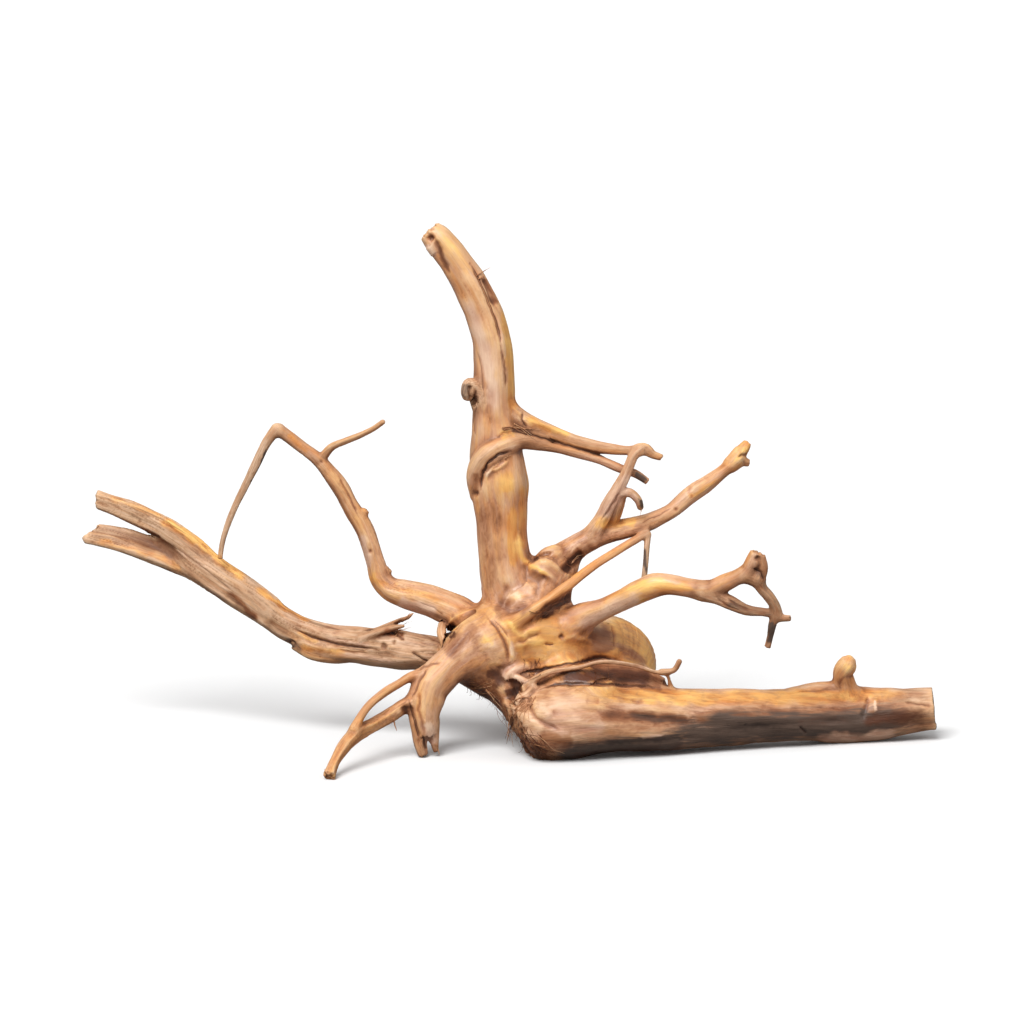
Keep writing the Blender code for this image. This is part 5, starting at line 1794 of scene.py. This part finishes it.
class BogwoodStage(bpy.types.PropertyGroup):
    """Floor, light and camera."""
    floor_size: length_setting("Floor size", "Width of the square floor", 80.0, 1.0)
    floor_tone: number_setting("Floor tone", "How pale the floor is", 0.9)
    floor_bounce: number_setting("Floor bounce", "Share of that tone that lights the wood from below", 0.25)
    distance: length_setting("Camera distance", "From the camera to the middle of the root", 16.0, 1.0)
    view_width: length_setting("View width", "Width that the picture shows at the root", 1.024, 0.1)
    view_height: length_setting("View height", "Height of the picture's middle on the leaning board", 0.233)
    key: number_setting("Key light", "Strength of the soft key light", 3.05)
    fill: number_setting("Fill light", "Strength of the broad fill light", 0.5)
    sky: number_setting("Sky", "Strength of the white surroundings", 0.5)


# Operators


def hand_over(piece, *nodes):
    """Says what the piece stands for, what it rides on and where its finish comes from."""
    if nodes:
        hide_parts(*nodes)
    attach(piece, BODY)


class BOGWOOD_OT_skin(bpy.types.Operator):
    """Grow the limbs together, carve the wood and finish its skin"""
    bl_idname = "bogwood.skin"
    bl_label = "Wood skin"

    def execute(self, context):
        shape = context.scene.bogwood_shape
        limbs = grow_limbs()
        order_of = {limb.name: limb.order for limb in limbs}
        voxel = shape.voxel
        skin = rough_skin(limbs, voxel / MM)
        keep_outer_shell(skin)
        points = settle(limbs, read_points(skin.data), 3)
        points = relax(points, read_edges(skin.data), 2, 0.5)
        write_points(skin.data, settle(limbs, points, 1))
        carve(skin, limbs, order_of)
        thin_out(skin, shape.triangles)
        write_finish(skin, limbs, order_of)
        colours = context.scene.bogwood_colours
        skin.data.materials.append(skin_material(colours))
        skin.data.materials.append(end_grain_material(colours))
        mark_sawn_end(skin.data)
        hand_over(skin, NODE)
        return {"FINISHED"}


class BOGWOOD_OT_hair_roots(bpy.types.Operator):
    """Grow the fine hair roots under the crown and at the log's thick end"""
    bl_idname = "bogwood.hair_roots"
    bl_label = "Hair roots"

    def execute(self, context):
        colours = context.scene.bogwood_colours
        strands = front_strands(HAIR_TUFTS, 61) + hanging_strands(HANGING_TUFTS, 62)
        piece = strand_mesh("hair_roots", strands, 4)
        piece.data.materials.append(strand_material(
            "hair_root", colours.crevice, colours.hair, colours.weathered))
        hand_over(piece)
        return {"FINISHED"}


class BOGWOOD_OT_loose_fibres(bpy.types.Operator):
    """Lay the torn fibres, threads and strands over the wood"""
    bl_idname = "bogwood.loose_fibres"
    bl_label = "Loose fibres"

    def execute(self, context):
        colours = context.scene.bogwood_colours
        piece = strand_mesh("loose_fibres", front_strands(FIBRE_TUFTS, 63), 5)
        piece.data.materials.append(strand_material(
            "torn_fibre", colours.bark, colours.tan, colours.tan_light))
        hand_over(piece)
        return {"FINISHED"}


class BOGWOOD_OT_stage(bpy.types.Operator):
    """Set up the pale floor, the soft lights and the camera"""
    bl_idname = "bogwood.stage"
    bl_label = "Stage"

    def execute(self, context):
        settings = context.scene.bogwood_stage
        stage_floor(settings)
        stage_light("key", KEY_WAY, settings.key, KEY_WIDTH)
        stage_light("fill", FILL_WAY, settings.fill, FILL_WIDTH)
        stage_sky(settings.sky)
        stage_camera(settings)
        context.scene.view_settings.view_transform = "Standard"
        return {"FINISHED"}


class BOGWOOD_PT_panel(bpy.types.Panel):
    """The root's pieces and settings"""
    bl_idname = "BOGWOOD_PT_panel"
    bl_label = "Bogwood root"
    bl_space_type = "VIEW_3D"
    bl_region_type = "UI"
    bl_category = "Bogwood"

    def draw(self, context):
        scene = context.scene
        for group in (scene.bogwood_shape, scene.bogwood_colours, scene.bogwood_stage):
            box = self.layout.box()
            for name in group.__annotations__:
                box.prop(group, name)
        for step in STEPS:
            self.layout.operator(step.bl_idname)


STEPS = (BOGWOOD_OT_skin, BOGWOOD_OT_hair_roots, BOGWOOD_OT_loose_fibres, BOGWOOD_OT_stage)
SETTINGS = {
    "bogwood_shape": BogwoodShape, "bogwood_colours": BogwoodColours, "bogwood_stage": BogwoodStage}


def register():
    for made in (*SETTINGS.values(), *STEPS, BOGWOOD_PT_panel):
        bpy.utils.register_class(made)
    for name, made in SETTINGS.items():
        setattr(bpy.types.Scene, name, bpy.props.PointerProperty(type=made))


def unregister():
    for name in SETTINGS:
        delattr(bpy.types.Scene, name)
    for made in (BOGWOOD_PT_panel, *reversed(STEPS), *reversed(SETTINGS.values())):
        bpy.utils.unregister_class(made)


def main():
    """Builds the root step by step and notes how big it came out."""
    register()
    for step in STEPS:
        group, name = step.bl_idname.split(".")
        getattr(getattr(bpy.ops, group), name)()


if __name__ == "__main__":
    main()
